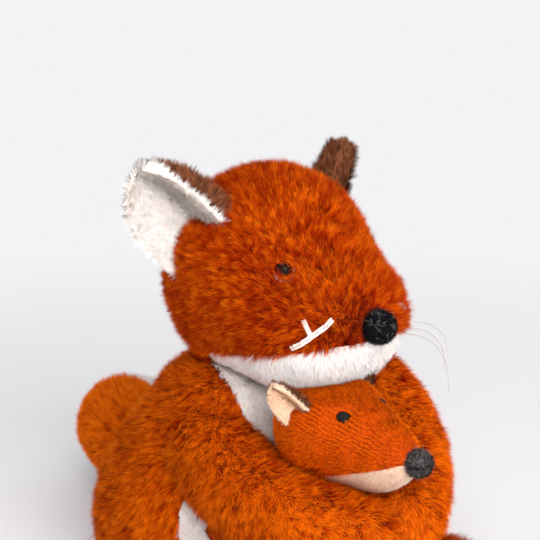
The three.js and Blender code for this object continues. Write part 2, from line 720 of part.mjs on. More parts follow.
function buildHead() {
  const outer = headForm(FOX, 0, FORM_SIDES, FORM_ROWS);
  const eyes = [-1, 1].map((side) => onHead(FOX, FOX_EYE_SHARE, side));
  const atEyes = (solid) => joined(eyes.map(({ point, normal }) => moved(solid, facing(point, normal))));
  const mouth = moved(neckHole(), headGroup.matrixWorld.clone().invert());
  const shell = outer.subtract(headForm(FOX, -CLOTH, CORE_SIDES, CORE_ROWS)).subtract(mouth);
  const skin = shell.subtract(jawCutter(FOX, SEAM_GAP))
    .subtract(atEyes(eyeHole())).subtract(atEyes(washerRoom(-CLOTH)));
  place(headGroup, "head_skin", inHead(skin), RUST_PLUSH());
  place(headGroup, "jaw_panel", inHead(shell.intersect(jawCutter(FOX, 0))), WHITE_PLUSH());
  const filling = headForm(FOX, -CLOTH - SEAM_GAP, CORE_SIDES, CORE_ROWS);
  place(headGroup, "head_stuffing", inHead(filling.subtract(atEyes(washerRoom(OVERRUN)))), STUFFING());
  const clear = headForm(FOX, SEAM_GAP, FORM_SIDES, FORM_ROWS);
  place(headGroup, "nose", inHead(noseBall(FOX, FOX_NOSE_WIDTH, FOX_NOSE_DROP, clear)), BLACK_FELT());
  for (const [name, side] of [["right", -1], ["left", 1]]) {
    const { point, normal } = onHead(FOX, FOX_EYE_SHARE, side);
    const seat = facing(point, normal);
    place(headGroup, `eye_${name}`, inHead(moved(eyeButton(), seat)), BLACK_BEAD());
    place(headGroup, `eye_washer_${name}`, inHead(moved(eyeWasher(), seat)), WHITE_PLASTIC());
    const { lining, back } = earPieces(FOX, side, clear);
    place(headGroup, `ear_${name}_back`, inHead(back), BROWN_PLUSH());
    place(headGroup, `ear_${name}_lining`, inHead(lining), WHITE_PLUSH());
    place(headGroup, `cheek_mark_${name}`, inHead(cheekMark(FOX, side, clear)), WHITE_FLOSS());
  }
  WHISKERS.forEach((_, index) => {
    place(headGroup, `whisker_${index + 1}`, inHead(whisker(FOX, index).subtract(clear)), WHISKER_HAIR());
  });
}

const armClears = [];

// The left paw is pressed against the right one
function buildArms() {
  for (const [name, route] of [["right", ARM_RIGHT_ROUTE], ["left", ARM_LEFT_ROUTE]]) {
    const joint = joints[`arm_${name}`];
    let arm = limb(route, ARM_WIDTH, ARM_RADIUS_SHARES);
    for (const fixed of [torsoClear, cubHeadClear, headClear]) arm = rider(arm, fixed, joint);
    arm = armClears.reduce((left, { solid }) => left.subtract(solid), clearOfLegs(arm));
    const group = addGroup(fox, joint.pivot.x, joint.pivot.y, 0);
    place(group, `arm_${name}`, arm, RUST_PLUSH());
    armClears.push({ solid: limb(route, ARM_WIDTH, ARM_RADIUS_SHARES, SEAM_GAP), joint });
  }
}

function legForm(side, grow) {
  const middle = LEG_WIDTH / 2 - SEAT_SINK;
  const reach = FOOT_FORWARD - LEG_WIDTH / 2;
  const route = [
    [side * HIP_SIDE, -HIP_FORWARD, middle],
    [(side * (HIP_SIDE + FOOT_SIDE)) / 2, -(HIP_FORWARD + reach) / 2, middle],
    [side * FOOT_SIDE, -reach, middle + FOOT_LIFT],
  ];
  return limb(route, LEG_WIDTH, LEG_RADIUS_SHARES, grow);
}

const clearOfLegs = (solid) => [-1, 1].reduce((left, side) => left.subtract(legForm(side, SEAM_GAP)), solid);

function buildLegs() {
  for (const [name, side] of [["right", -1], ["left", 1]]) {
    const joint = joints[`leg_${name}`];
    const leg = rider(legForm(side, 0), torsoClear, joint);
    const group = addGroup(fox, joint.pivot.x, joint.pivot.y, 0);
    place(group, `leg_${name}`, leg.subtract(floorClear), RUST_PLUSH());
  }
}

function buildTail() {
  const whole = rider(limb(TAIL_ROUTE, TAIL_WIDTH, TAIL_RADIUS_SHARES), torsoClear, joints.tail);
  const curve = new THREE.CatmullRomCurve3(TAIL_ROUTE.map(vector), false, "centripetal");
  const seam = curve.getPointAt(TAIL_TIP_SHARE);
  const way = curve.getTangentAt(TAIL_TIP_SHARE);
  const block = new THREE.BoxGeometry(2 * TAIL_WIDTH, 2 * TAIL_WIDTH, 2 * TAIL_WIDTH);
  const beyond = moved(solidOf(block.translate(0, 0, TAIL_WIDTH)), facing(seam, way));
  const before = moved(beyond, new THREE.Matrix4().makeTranslation(way.clone().multiplyScalar(-SEAM_GAP)));
  const group = addGroup(fox, TAIL_ROUTE[0][0], TAIL_ROUTE[0][1], TAIL_ROUTE[0][2]);
  place(group, "tail", whole.subtract(before), RUST_PLUSH());
  place(group, "tail_tip", whole.intersect(beyond), WHITE_PLUSH());
}

function buildCubHead() {
  const whole = headForm(CUB, 0, CORE_SIDES, CORE_ROWS);
  const core = headForm(CUB, -CLOTH, CORE_SIDES, CORE_ROWS);
  const hollow = headForm(CUB, -CLOTH - SEAM_GAP, CORE_SIDES, CORE_ROWS);
  const pressed = (solid) => clearedOf(inCubHead(solid), headClear, joints.head);
  const recess = jawCutter(CUB, SEAM_GAP).subtract(hollow);
  place(cubHeadGroup, "cub_head", pressed(whole.subtract(recess)), ORANGE_VELVET());
  const panel = whole.subtract(core).intersect(jawCutter(CUB, 0));
  place(cubHeadGroup, "cub_jaw_panel", pressed(panel), CREAM_VELVET());
  const clear = headForm(CUB, SEAM_GAP, FORM_SIDES, FORM_ROWS);
  const nose = noseBall(CUB, CUB_NOSE_WIDTH, CUB_NOSE_DROP, clear);
  place(cubHeadGroup, "cub_nose", inCubHead(nose), GREY_FELT());
  for (const [name, side] of [["right", -1], ["left", 1]]) {
    const { point, normal } = onHead(CUB, CUB_EYE_SHARE, side);
    const knot = moved(dome(CUB_EYE_WIDTH, CUB_EYE_HEIGHT), facing(point, normal));
    place(cubHeadGroup, `cub_eye_${name}`, inCubHead(knot), BLACK_FLOSS());
    const { lining, back } = earPieces(CUB, side, clear);
    place(cubHeadGroup, `cub_ear_${name}_back`, pressed(back), BROWN_PLUSH());
    place(cubHeadGroup, `cub_ear_${name}_lining`, pressed(lining), CREAM_VELVET());
  }
}

// The cub's body and legs fill the room that the chest and the arms leave
function buildCubBody() {
  const clearOfArms = (solid) =>
    armClears.reduce((left, { solid: arm, joint }) => clearedOf(left, arm, joint), solid);
  const hugged = (route, width, shares) =>
    clearOfArms(clearOfLegs(limb(route, width, shares)).subtract(torsoClear).subtract(cubHeadClear));
  const bodyClear = limb(CUB_BODY_ROUTE, CUB_BODY_WIDTH, CUB_BODY_SHARES, SEAM_GAP);
  place(fox, "cub_body", hugged(CUB_BODY_ROUTE, CUB_BODY_WIDTH, CUB_BODY_SHARES), ORANGE_VELVET());
  for (const [name, route] of [["right", CUB_LEG_RIGHT_ROUTE], ["left", CUB_LEG_LEFT_ROUTE]]) {
    const leg = hugged(route, CUB_LEG_WIDTH, CUB_LEG_SHARES).subtract(bodyClear);
    place(fox, `cub_leg_${name}`, leg, ORANGE_VELVET());
  }
}

buildTorso();
buildHead();
buildLegs();
buildArms();
buildTail();
buildCubHead();
buildCubBody();

export default fox;
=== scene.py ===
"""Looks of a plush fox that hugs its cub, in metres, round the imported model."""

import math

import bmesh
import bpy
import numpy as np
from mathutils import Matrix, Vector
from mathutils.bvhtree import BVHTree
from mathutils.kdtree import KDTree


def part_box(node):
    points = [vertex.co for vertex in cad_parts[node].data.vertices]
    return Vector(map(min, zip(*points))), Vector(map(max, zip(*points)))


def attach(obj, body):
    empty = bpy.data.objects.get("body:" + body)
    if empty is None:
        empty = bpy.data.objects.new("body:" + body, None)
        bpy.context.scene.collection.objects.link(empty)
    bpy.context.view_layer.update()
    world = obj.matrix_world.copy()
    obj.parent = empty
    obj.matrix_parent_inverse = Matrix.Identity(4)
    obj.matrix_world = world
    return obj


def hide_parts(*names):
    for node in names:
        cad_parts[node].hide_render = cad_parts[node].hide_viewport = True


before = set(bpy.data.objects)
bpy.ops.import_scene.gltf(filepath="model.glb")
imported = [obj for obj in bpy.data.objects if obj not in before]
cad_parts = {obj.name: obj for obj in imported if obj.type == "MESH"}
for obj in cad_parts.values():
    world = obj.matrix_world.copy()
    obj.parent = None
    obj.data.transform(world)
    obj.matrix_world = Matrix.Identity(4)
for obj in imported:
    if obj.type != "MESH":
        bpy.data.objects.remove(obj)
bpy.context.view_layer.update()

MM = 0.001
UP = np.array([0.0, 0.0, 1.0])
SIDES = ("right", "left")
SENSE = {"right": -1, "left": 1}  # the sign of x on each side
STRIPE = 1 / 256  # width of a strand's strip in the shade map
FLOOR_GAP = 0.25 * MM  # how far above the floor the lowest pile ends
WELD = 1e-6

# Places that part.mjs gives, in metres and degrees
FOX_HEAD = {"middle": (0, -0.025, 0.138), "turn": 14}
CUB_HEAD = {"middle": (-0.002, -0.076, 0.087), "turn": 17}
FOX_EYE = (0.59, -0.79, 0.2)
CUB_EYE = (0.54, -0.71, 0.45)
CHEEK_STITCH = ((0.55, -0.77, -0.31), (0.34, -0.93, -0.15))
CHEEK_BRANCH = (0.51, -0.85, -0.15)
BRANCH_MEETS = 0.45
WHISKER_ROOT = (0.41, -0.86, -0.295)
WHISKER_SPREAD = 0.045
WHISKER_REACH = ((0.025, 0.004, 0.017), (0.026, 0.003, 0.023), (0.027, 0.005, 0.029))
EAR_MOUTH = (0.752, -0.598, -0.28)
EAR_AXIS = (0.58, 0.3, 0.72)

# Small tools


def link(name, data):
    """A new object in the scene, with its data."""
    obj = bpy.data.objects.new(name, data)
    bpy.context.collection.objects.link(obj)
    return obj


def mesh_of(name, points, faces):
    """A mesh from arrays of points and of faces that all have the same number of corners."""
    mesh = bpy.data.meshes.new(name)
    count, corners = faces.shape
    mesh.vertices.add(len(points))
    mesh.vertices.foreach_set("co", np.ascontiguousarray(points, dtype=np.float32).ravel())
    mesh.loops.add(count * corners)
    mesh.loops.foreach_set("vertex_index", faces.astype(np.int32).ravel())
    mesh.polygons.add(count)
    mesh.polygons.foreach_set("loop_start", np.arange(0, count * corners, corners, dtype=np.int32))
    mesh.update(calc_edges=True)
    return mesh


def smooth_shaded(mesh):
    mesh.polygons.foreach_set("use_smooth", np.ones(len(mesh.polygons), dtype=bool))
    mesh.update()


def rows_of(vertices, key):
    """A vector that each vertex has, as rows of an array."""
    found = np.empty(len(vertices) * 3, dtype=np.float32)
    vertices.foreach_get(key, found)
    return found.reshape(-1, 3).astype(float)


def points_of(mesh):
    return rows_of(mesh.vertices, "co")


def normals_of(mesh):
    return rows_of(mesh.vertices, "normal")


def triangles_of(mesh):
    mesh.calc_loop_triangles()
    found = np.empty(len(mesh.loop_triangles) * 3, dtype=np.int32)
    mesh.loop_triangles.foreach_get("vertices", found)
    return found.reshape(-1, 3)


def tree_of(mesh):
    return BVHTree.FromPolygons(points_of(mesh).tolist(), triangles_of(mesh).tolist())


def unit(vectors):
    return vectors / np.maximum(np.linalg.norm(vectors, axis=-1, keepdims=True), 1e-12)


def across_normal(vectors, normals):
    """The part of each vector that lies in the surface."""
    return vectors - normals * np.sum(vectors * normals, axis=-1, keepdims=True)


def evaluated(obj):
    """The mesh of an object with its modifiers applied."""
    graph = bpy.context.evaluated_depsgraph_get()
    return bpy.data.meshes.new_from_object(obj.evaluated_get(graph))


def cad_mesh(*nodes):
    """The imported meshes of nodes, joined."""
    points, faces, start = [], [], 0
    for node in nodes:
        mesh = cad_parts[node].data
        found = points_of(mesh)
        points.append(found)
        faces.append(triangles_of(mesh) + start)
        start += len(found)
    mesh = mesh_of("cad", np.concatenate(points), np.concatenate(faces))
    work = bmesh.new()
    work.from_mesh(mesh)
    bmesh.ops.remove_doubles(work, verts=work.verts, dist=WELD)
    work.to_mesh(mesh)
    work.free()
    return mesh


def soft_form(nodes, voxel, rounds):
    """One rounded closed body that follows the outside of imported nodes."""
    obj = link("form", cad_mesh(*nodes))
    remesh = obj.modifiers.new("remesh", "REMESH")
    remesh.mode = "VOXEL"
    remesh.voxel_size = voxel
    smooth = obj.modifiers.new("smooth", "SMOOTH")
    smooth.factor = 0.5
    smooth.iterations = rounds
    mesh = evaluated(obj)
    bpy.data.objects.remove(obj)
    smooth_shaded(mesh)
    return mesh


def outer_shell(mesh):
    """The largest loose part of a mesh, so that no inner skin is left."""
    work = bmesh.new()
    work.from_mesh(mesh)
    seen, best = set(), set()
    for start in work.verts:
        if start in seen:
            continue
        stack, part = [start], {start}
        while stack:
            vertex = stack.pop()
            found = {edge.other_vert(vertex) for edge in vertex.link_edges} - part
            part |= found
            stack += found
        seen |= part
        best = max(best, part, key=len)
    bmesh.ops.delete(work, geom=[v for v in work.verts if v not in best], context="VERTS")
    work.to_mesh(mesh)
    work.free()
    return mesh


# Camera

VIEW_AZIMUTH, VIEW_ELEVATION = math.radians(-30), math.radians(12)
VIEW_DISTANCE = 0.52
LENS, SENSOR = 85, 36


def add_camera():
    """The photograph's view, from the fox's right and a little above, aimed at the middle of its head."""
    back = Vector((
        math.sin(VIEW_AZIMUTH) * math.cos(VIEW_ELEVATION),
        -math.cos(VIEW_AZIMUTH) * math.cos(VIEW_ELEVATION),
        math.sin(VIEW_ELEVATION),
    ))
    data = bpy.data.cameras.new("camera")
    data.lens = LENS
    data.sensor_width = SENSOR
    data.clip_start, data.clip_end = 0.01, 20
    camera = link("camera", data)
    camera.location = Vector(FOX_HEAD["middle"]) + VIEW_DISTANCE * back
    camera.rotation_mode = "QUATERNION"
    camera.rotation_quaternion = back.to_track_quat("Z", "Y")
    bpy.context.scene.camera = camera


add_camera()

# Node materials


def add_node(tree, kind, inputs=None, **settings):
    """A node in a tree, with each input linked or set."""
    node = tree.nodes.new(kind)
    for key, value in settings.items():
        setattr(node, key, value)
    for key, value in (inputs or {}).items():
        if isinstance(value, bpy.types.NodeSocket):
            tree.links.new(value, node.inputs[key])
        else:
            node.inputs[key].default_value = value
    return node


class Nodes:
    """Builds a material's nodes in a few words."""

    def __init__(self, name):
        self.material = bpy.data.materials.new(name)
        self.material.use_nodes = True
        self.tree = self.material.node_tree
        self.shader = self.tree.nodes["Principled BSDF"]
        self.output = self.tree.nodes["Material Output"]

    def add(self, kind, inputs=None, **settings):
        return add_node(self.tree, kind, inputs, **settings)

    def maths(self, operation, *values):
        return self.add("ShaderNodeMath", dict(enumerate(values)), operation=operation).outputs[0]

    def ramp(self, factor, stops):
        node = self.add("ShaderNodeValToRGB", {"Fac": factor})
        ramp = node.color_ramp
        while len(ramp.elements) < len(stops):
            ramp.elements.new(0.5)
        for element, (place, color) in zip(ramp.elements, stops):
            element.position = place
            element.color = (*color, 1)
        return node.outputs["Color"]

    def noise(self, scale, detail):
        place = self.add("ShaderNodeTexCoord").outputs["Object"]
        inputs = {"Vector": place, "Scale": scale, "Detail": detail}
        return self.add("ShaderNodeTexNoise", inputs).outputs["Fac"]

    def bump(self, height, distance):
        inputs = {"Height": height, "Distance": distance, "Strength": 1.0}
        self.set(Normal=self.add("ShaderNodeBump", inputs).outputs["Normal"])

    def set(self, **inputs):
        for key, value in inputs.items():
            socket = self.shader.inputs[key.replace("_", " ")]
            if isinstance(value, bpy.types.NodeSocket):
                self.tree.links.new(value, socket)
            else:
                socket.default_value = value


def linear(*levels):
    """A colour written in 8-bit levels, in linear light."""
    return tuple(((v / 255 + 0.055) / 1.055) ** 2.4 if v > 10 else v / 255 / 12.92 for v in levels)


def pile_material(name, root, body, tip, spread, warmth=1.0):
    """Pile whose colour runs from a dark root, painted shade deep in the pile, to the tip, and whose pale strands are
    also the more orange ones.
    """
    nodes = Nodes(name)
    map_node = nodes.add("ShaderNodeUVMap", uv_map="OFBake")
    split = nodes.add("ShaderNodeSeparateXYZ", {0: map_node.outputs[0]})
    color = nodes.ramp(split.outputs[1], [(0.0, root), (0.55, body), (1.0, tip)])
    level = nodes.maths("MULTIPLY_ADD", split.outputs[0], spread, 1 - spread / 2)
    warm = nodes.maths("POWER", level, warmth)
    grey = nodes.add("ShaderNodeCombineColor", {0: level, 1: warm, 2: warm}).outputs[0]
    shaded = nodes.add("ShaderNodeMix", {0: 1.0, 6: color, 7: grey}, data_type="RGBA", blend_type="MULTIPLY")
    nodes.set(Base_Color=shaded.outputs[2], Roughness=0.72, Specular_IOR_Level=0.03,
              Sheen_Weight=0.05, Sheen_Roughness=0.5, Sheen_Tint=(*tip, 1))
    return nodes.material


def grained(name, dark, light, scale, roughness, specular=0.5, bump=0.0, stops=(0.3, 0.7), detail=3.0):
    """The nodes of a material whose grain runs between two colours, with its relief in mm."""
    nodes = Nodes(name)
    grain = nodes.noise(scale, detail)
    nodes.set(Base_Color=nodes.ramp(grain, list(zip(stops, (dark, light)))), Roughness=roughness,
              Specular_IOR_Level=specular)
    if bump:
        nodes.bump(grain, bump * MM)
    return nodes


def cloth_material(name, dark, light, scale=900.0):
    """Backing cloth that shows between the strands."""
    return grained(name, dark, light, scale, 0.95, 0.1, 0.3, (0.35, 0.7)).material


# Colours at the root, darker as painted shade deep in the pile, the middle and the tip, the spread of shades, and how
# much warmer pale strands are
PILES = {
    "rust": pile_material("rust_pile", linear(122, 24, 0), linear(197, 63, 0), linear(224, 96, 10), 1.0, 2.2),
    "white": pile_material("white_pile", linear(232, 214, 204), linear(250, 244, 240), linear(254, 252, 250), 0.3),
    "brown": pile_material("brown_pile", linear(50, 24, 13), linear(120, 66, 39), linear(160, 104, 73), 0.6),
    "orange": pile_material("orange_pile", linear(122, 26, 0), linear(190, 66, 0), linear(234, 108, 6), 1.2, 1.3),
    "cream": pile_material("cream_pile", linear(214, 168, 138), linear(244, 214, 188), linear(251, 232, 212), 0.25),
    "black": pile_material("black_fibre", linear(4, 4, 5), linear(12, 12, 15), linear(52, 52, 58), 0.8),
    "grey": pile_material("grey_fibre", linear(4, 4, 5), linear(30, 28, 28), linear(168, 160, 156), 1.4),
    "stray": pile_material("stray_fibre", linear(90, 88, 92), linear(160, 156, 158), linear(205, 200, 200), 0.6),
}
CLOTHS = {
    "rust": cloth_material("rust_cloth", linear(84, 20, 2), linear(120, 34, 4)),
    "white": cloth_material("white_cloth", linear(234, 220, 212), linear(248, 240, 234)),
    "brown": cloth_material("brown_cloth", linear(60, 34, 22), linear(96, 58, 38)),
    "orange": cloth_material("orange_cloth", linear(176, 58, 4), linear(206, 76, 8)),
    "cream": cloth_material("cream_cloth", linear(216, 176, 146), linear(236, 200, 170)),
    "black": cloth_material("black_felt", linear(5, 5, 6), linear(16, 15, 18), 1400.0),
    "grey": cloth_material("grey_felt", linear(14, 12, 12), linear(40, 36, 36), 1400.0),
}

# Pile


def sampled(points, triangles, normals, density, rng):
    """Random places on a surface, evenly by area, with the normal at each, and the area in square mm."""
    a, b, c = (points[triangles[:, i]] for i in range(3))
    areas = np.linalg.norm(np.cross(b - a, c - a), axis=1) / 2
    area = areas.sum() / MM ** 2
    count = int(area * density)
    chosen = np.searchsorted(np.cumsum(areas) / areas.sum(), rng.random(count))
    chosen = np.minimum(chosen, len(triangles) - 1)
    u, v = rng.random(count), rng.random(count)
    over = u + v > 1
    u[over], v[over] = 1 - u[over], 1 - v[over]
    weights = np.stack([1 - u - v, u, v], axis=1)[:, :, None]
    corners = triangles[chosen]
    place = np.sum(points[corners] * weights, axis=1)
    return place, unit(np.sum(normals[corners] * weights, axis=1)), area


def nearest_tuft(places, tufts):
    tree = KDTree(len(tufts))
    for i, place in enumerate(tufts.tolist()):
        tree.insert(place, i)
    tree.balance()
    found = [tree.find(place) for place in places.tolist()]
    return np.array([f[1] for f in found]), np.array([f[2] for f in found])


WAVE_COUNT, WAVE_SPREAD, FULL_TURN = 5, (0.7, 1.5), 6.28
ROW_WANDER, ROW_WANDER_SIZE = 0.5 * MM, 11 * MM
ROWS_END, ROWS_FADE = 0.92, 0.3


def waves(places, size, rng):
    """A smooth random value of about -1 to 1 at each place, with features of about a size."""
    total = np.zeros(len(places))
    for _ in range(WAVE_COUNT):
        way = unit(rng.normal(size=3))
        span = size * rng.uniform(*WAVE_SPREAD)
        total += np.sin(places @ way * (2 * math.pi / span) + rng.uniform(0, FULL_TURN))
    return total / 3


def row_waves(places, normals, rows, rng):
    """A value from -1 to 1 that makes fine rows across a direction, a pitch in mm apart."""
    way, pitch = unit(np.array(rows[0], dtype=float)), rows[1]
    along_way = places @ way + ROW_WANDER * waves(places, ROW_WANDER_SIZE, rng)
    flat = np.abs(normals @ way)  # rows would spread out where the surface faces along the direction
    return np.sin(along_way * (2 * math.pi / (pitch * MM))) * np.clip((ROWS_END - flat) / ROWS_FADE, 0, 1)


BENT = {
    "faces": np.array([[0, 1, 2], [0, 2, 3], [3, 2, 4]]),
    "u": np.array([0, 1, 1, 0, 0.5]) * STRIPE,
    "v": np.array([0, 0, 0.5, 0.5, 1.0]),
}
STRAIGHT = {"faces": np.array([[0, 1, 2]]), "u": np.array([0, 1, 0.5]) * STRIPE, "v": np.array([0, 0, 1.0])}


def strand_mesh(name, root, middle, tip, side, width, shade, normals, bent):
    """Strands of one triangle, or three where bent, with shades in their map and the skin's normals."""
    kind = BENT if bent else STRAIGHT
    edge = side * (width / 2)[:, None]
    rows = [root - edge, root + edge]
    if bent:
        rows += [middle + edge * 0.75, middle - edge * 0.75]
    points = np.stack([*rows, tip], axis=1)
    corners = points.shape[1]
    points = points.reshape(-1, 3)
    points[:, 2] = np.maximum(points[:, 2], FLOOR_GAP)
    faces = ((np.arange(len(root)) * corners)[:, None, None] + kind["faces"]).reshape(-1, 3)
    mesh = mesh_of(name, points, faces)
    u = np.clip(shade, 0, 1 - STRIPE)[:, None] + kind["u"]
    v = np.broadcast_to(kind["v"], u.shape)
    values = np.stack([u, v], axis=2).reshape(-1, 2)[faces.ravel()]
    layer = mesh.uv_layers.new(name="OFBake")
    layer.uv.foreach_set("vector", values.astype(np.float32).ravel())
    smooth_shaded(mesh)
    mesh.normals_split_custom_set_from_vertices(np.repeat(normals, corners, axis=0).tolist())
    return mesh


# How strands vary, in radians where they turn and otherwise in shares
COMBING_WAVE = 12 * MM
LEAN_VARIES, TUFT_LEAN_VARIES, LEAN_RANGE = 0.16, 0.14, (0.15, 1.45)
LENGTH_VARIES, TUFT_LENGTH_VARIES, LENGTH_RANGE = 0.5, 0.1, (0.35, 1.5)
START_STEEPER, START_LEAST, END_FLATTER = 0.35, 0.05, 0.25
ROOT_DEPTH = 0.3 * MM
PULL_VARIES, PULL_MOST, TUFT_OVERHANG, MIDDLE_PULL = 0.12, 0.9, 0.12, 0.35
ROLL_VARIES = 0.5
WIDTH_RANGE = (0.7, 1.25)
ROW_LENGTH, ROW_SHADE = 0.35, 0.68
# Strands towards a tuft's edge are painted darker, and those near its middle lighter: painted shade in the gaps
# between tufts
SHADE_MEAN, SHADE_VARIES, TUFT_GAP_PAINTED_SHADE, TUFT_EDGE_AT = 0.5, 0.1, 0.35, 0.4
SHADE_WAVES = ((25 * MM, 0.12), (8 * MM, 0.1))
SHADING_ALONG, SHADING_OUT = 0.45, 0.3


def turned(way, aside, angle):
    """Each way turned by an angle towards another that is square to it."""
    return way * np.cos(angle)[:, None] + aside * np.sin(angle)[:, None]


def tuft_means(values, own, count):
    """The mean of the values in each tuft."""
    hits = np.maximum(np.bincount(own, minlength=count), 1)
    return np.stack([np.bincount(own, weights=values[:, i], minlength=count) / hits for i in range(3)], axis=1)


def strands(name, surface, look, density, length, width, lean, flow, tuft, pull, seed, keep, scale=None,
            ragged=0.25, bent=False, stray=0.25, rows=None, lift=0.0, frizz=0.2, mottle=0.16, toward=(0, 0, 0)):
    """Pile on a surface of points, triangles and normals. Sizes in mm, density in strands per square mm."""
    rng = np.random.default_rng(seed)
    place, normal, area = sampled(*surface, density, rng)
    kept = keep(place)
    place, normal = place[kept], normal[kept]
    count = len(place)
    tufts = place[rng.choice(count, max(int(area / tuft ** 2), 2), replace=True)]
    own, away = nearest_tuft(place, tufts)

    combed = unit(across_normal(flow(place), normal))
    turn = rng.normal(0, stray, len(tufts))[own] + rng.normal(0, frizz, count)
    turn = turn + stray * waves(place, COMBING_WAVE, rng)
    combed = turned(combed, np.cross(normal, combed), turn)
    leaning = np.radians(lean) + rng.normal(0, LEAN_VARIES, count) + rng.normal(0, TUFT_LEAN_VARIES, len(tufts))[own]
    leaning = np.clip(leaning, *LEAN_RANGE)
    grown = length * MM * (1 + ragged * rng.normal(0, LENGTH_VARIES, count))
    grown = grown * (1 + rng.normal(0, TUFT_LENGTH_VARIES, len(tufts))[own])
    grown = np.clip(grown, *(share * length * MM for share in LENGTH_RANGE))
    if scale is not None:
        grown = grown * scale(place)
    ridge = row_waves(place, normal, rows, rng) if rows else np.zeros(count)
    grown = (grown * (1 + ROW_LENGTH * ridge))[:, None]

    lie = turned(normal, combed, leaning + END_FLATTER)
    root = place - normal * ROOT_DEPTH
    middle = root + turned(normal, combed, np.maximum(leaning - START_STEEPER, START_LEAST)) * (grown * 0.5)
    tip = middle + lie * (grown * 0.5)
    draw = np.clip(pull + rng.normal(0, PULL_VARIES, count), 0, PULL_MOST)[:, None]
    target = tuft_means(tip, own, len(tufts))[own] + lie * (grown * TUFT_OVERHANG)
    tip = tip * (1 - draw) + target * draw
    middle = middle * (1 - draw * MIDDLE_PULL) + (target * 0.5 + root * 0.5) * draw * MIDDLE_PULL

    face = unit(np.cross(tip - root, normal))
    out = unit(np.cross(face, tip - root))
    side = turned(face, out, rng.normal(0, ROLL_VARIES, count))
    reach = np.clip(away / (tuft * MM), 0, 1)
    # Each strand's shade: its panel's lift, random tone, painted shade towards its tuft's edge, the rows and broad
    # waves
    shade = SHADE_MEAN + (lift(place) if callable(lift) else lift) + mottle * rng.normal(size=len(tufts))[own]
    shade += SHADE_VARIES * rng.normal(size=count) - TUFT_GAP_PAINTED_SHADE * (reach - TUFT_EDGE_AT) + ROW_SHADE * ridge
    for size, share in SHADE_WAVES:
        shade += share * waves(place, size, rng)
    wide = width * MM * rng.uniform(*WIDTH_RANGE, count)
    toward = np.array(toward, dtype=float)
    facing = np.clip(normal @ toward / max(np.linalg.norm(toward), 1e-9) + 0.5, 0, 1)[:, None]
    shading = unit(normal + SHADING_ALONG * unit(tip - root) + SHADING_OUT * out + facing * toward)
    mesh = strand_mesh(name, root, middle, tip, side, wide, shade, shading, bent)
    mesh.materials.append(PILES[look])
    return link(name, mesh)


# Panels: the parts of a form that lie nearest to each of its nodes

OUTSIDE = 0.2


def turn_of(place):
    """The turn of a head about the vertical."""
    return Matrix.Rotation(math.radians(place["turn"]), 3, "Z")


class Form:
    """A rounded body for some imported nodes, and the share of it that each node owns."""

    def __init__(self, nodes, voxel, rounds, filling=(), lap=None, limit=None):
        self.mesh = outer_shell(soft_form([*nodes, *filling], voxel * MM, rounds))
        smooth_shaded(self.mesh)
        self.nodes = nodes
        self.lap, self.limit = lap, limit
        self.trees = {node: tree_of(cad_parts[node].data) for node in nodes}
        self.reshape(points_of(self.mesh))

    def reshape(self, points):
        """Takes new places for the form's points."""
        self.mesh.vertices.foreach_set("co", points.astype(np.float32).ravel())
        self.mesh.update()
        self.points, self.normals = points_of(self.mesh), normals_of(self.mesh)
        self.triangles = triangles_of(self.mesh)
        self.tree = tree_of(self.mesh)

    def dent(self, place, depth, radius):
        """Presses a round hollow in, as a tight stitch does."""
        away = np.linalg.norm(self.points - place, axis=1) / (radius * MM)
        self.reshape(self.points - self.normals * (depth * MM * np.exp(-away ** 2))[:, None])

    def away(self, node, places):
        """How far each place is from a node, less what that node laps over its seam."""
        found = np.array([self.trees[node].find_nearest(p)[3] for p in places.tolist()])
        return found - self.lap(places) * MM if self.lap and node == self.nodes[-1] else found

    def owned(self, node, places):
        """Whether each place is nearer to one node than to the others, within the limit of the last one."""
        if len(self.nodes) == 1:
            return np.ones(len(places), bool)
        mine = self.away(node, places)
        found = np.all([mine <= self.away(other, places) for other in self.nodes if other != node], axis=0)
        if self.limit is None:
            return found
        inside = self.limit(places)
        return found & inside if node == self.nodes[-1] else found | ~inside

    def surface(self, node):
        """The points, triangles and normals of a node's share and of what borders on it."""
        near = self.owned(node, self.points)[self.triangles].any(axis=1)
        return self.points, self.triangles[near], self.normals

    def on(self, place, shares):
        """Where a ray from the middle of a head leaves the form, and its normal there."""
        way = (turn_of(place) @ Vector(shares)).normalized()
        start = Vector(place["middle"]) + way * OUTSIDE
        hit, normal, _, _ = self.tree.ray_cast(start, -way)
        return np.array(hit), np.array(normal)


CLOTH_THICKNESS = 1.1 * MM


def cover(name, form, node, look, body):
    """The cloth of one panel, as a closed sheet with its own thickness."""
    middles = form.points[form.triangles].mean(axis=1)
    faces = form.triangles[form.owned(node, middles)]
    used, where = np.unique(faces, return_inverse=True)
    obj = link(name, mesh_of(name, form.points[used], where.reshape(-1, 3)))
    if len(form.nodes) > 1:
        solid = obj.modifiers.new("solid", "SOLIDIFY")
        solid.thickness = CLOTH_THICKNESS
        solid.offset = -1
        obj.data = evaluated(obj)
        obj.modifiers.clear()
    smooth_shaded(obj.data)
    obj.data.materials.append(CLOTHS[look])
    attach(obj, body)
    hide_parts(node)
    return obj


def fur(name, form, node, look, body, **settings):
    """The pile of one panel, which rides with its cloth."""
    keep = settings.pop("keep", None)

    def kept(places):
        mine = form.owned(node, places)
        return mine & keep(places) if keep else mine

    obj = strands(name, form.surface(node), look, keep=kept, **settings)
    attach(obj, body)
    return obj


# Directions in which the pile is combed


def from_point(start, down=0.0):
    start = np.array(start)
    return lambda places: unit(places - start) - UP * down


def along(way):
    way = np.array(way, dtype=float)
    return lambda places: np.broadcast_to(way, places.shape)


ROUTE_BLEND = 12 * MM


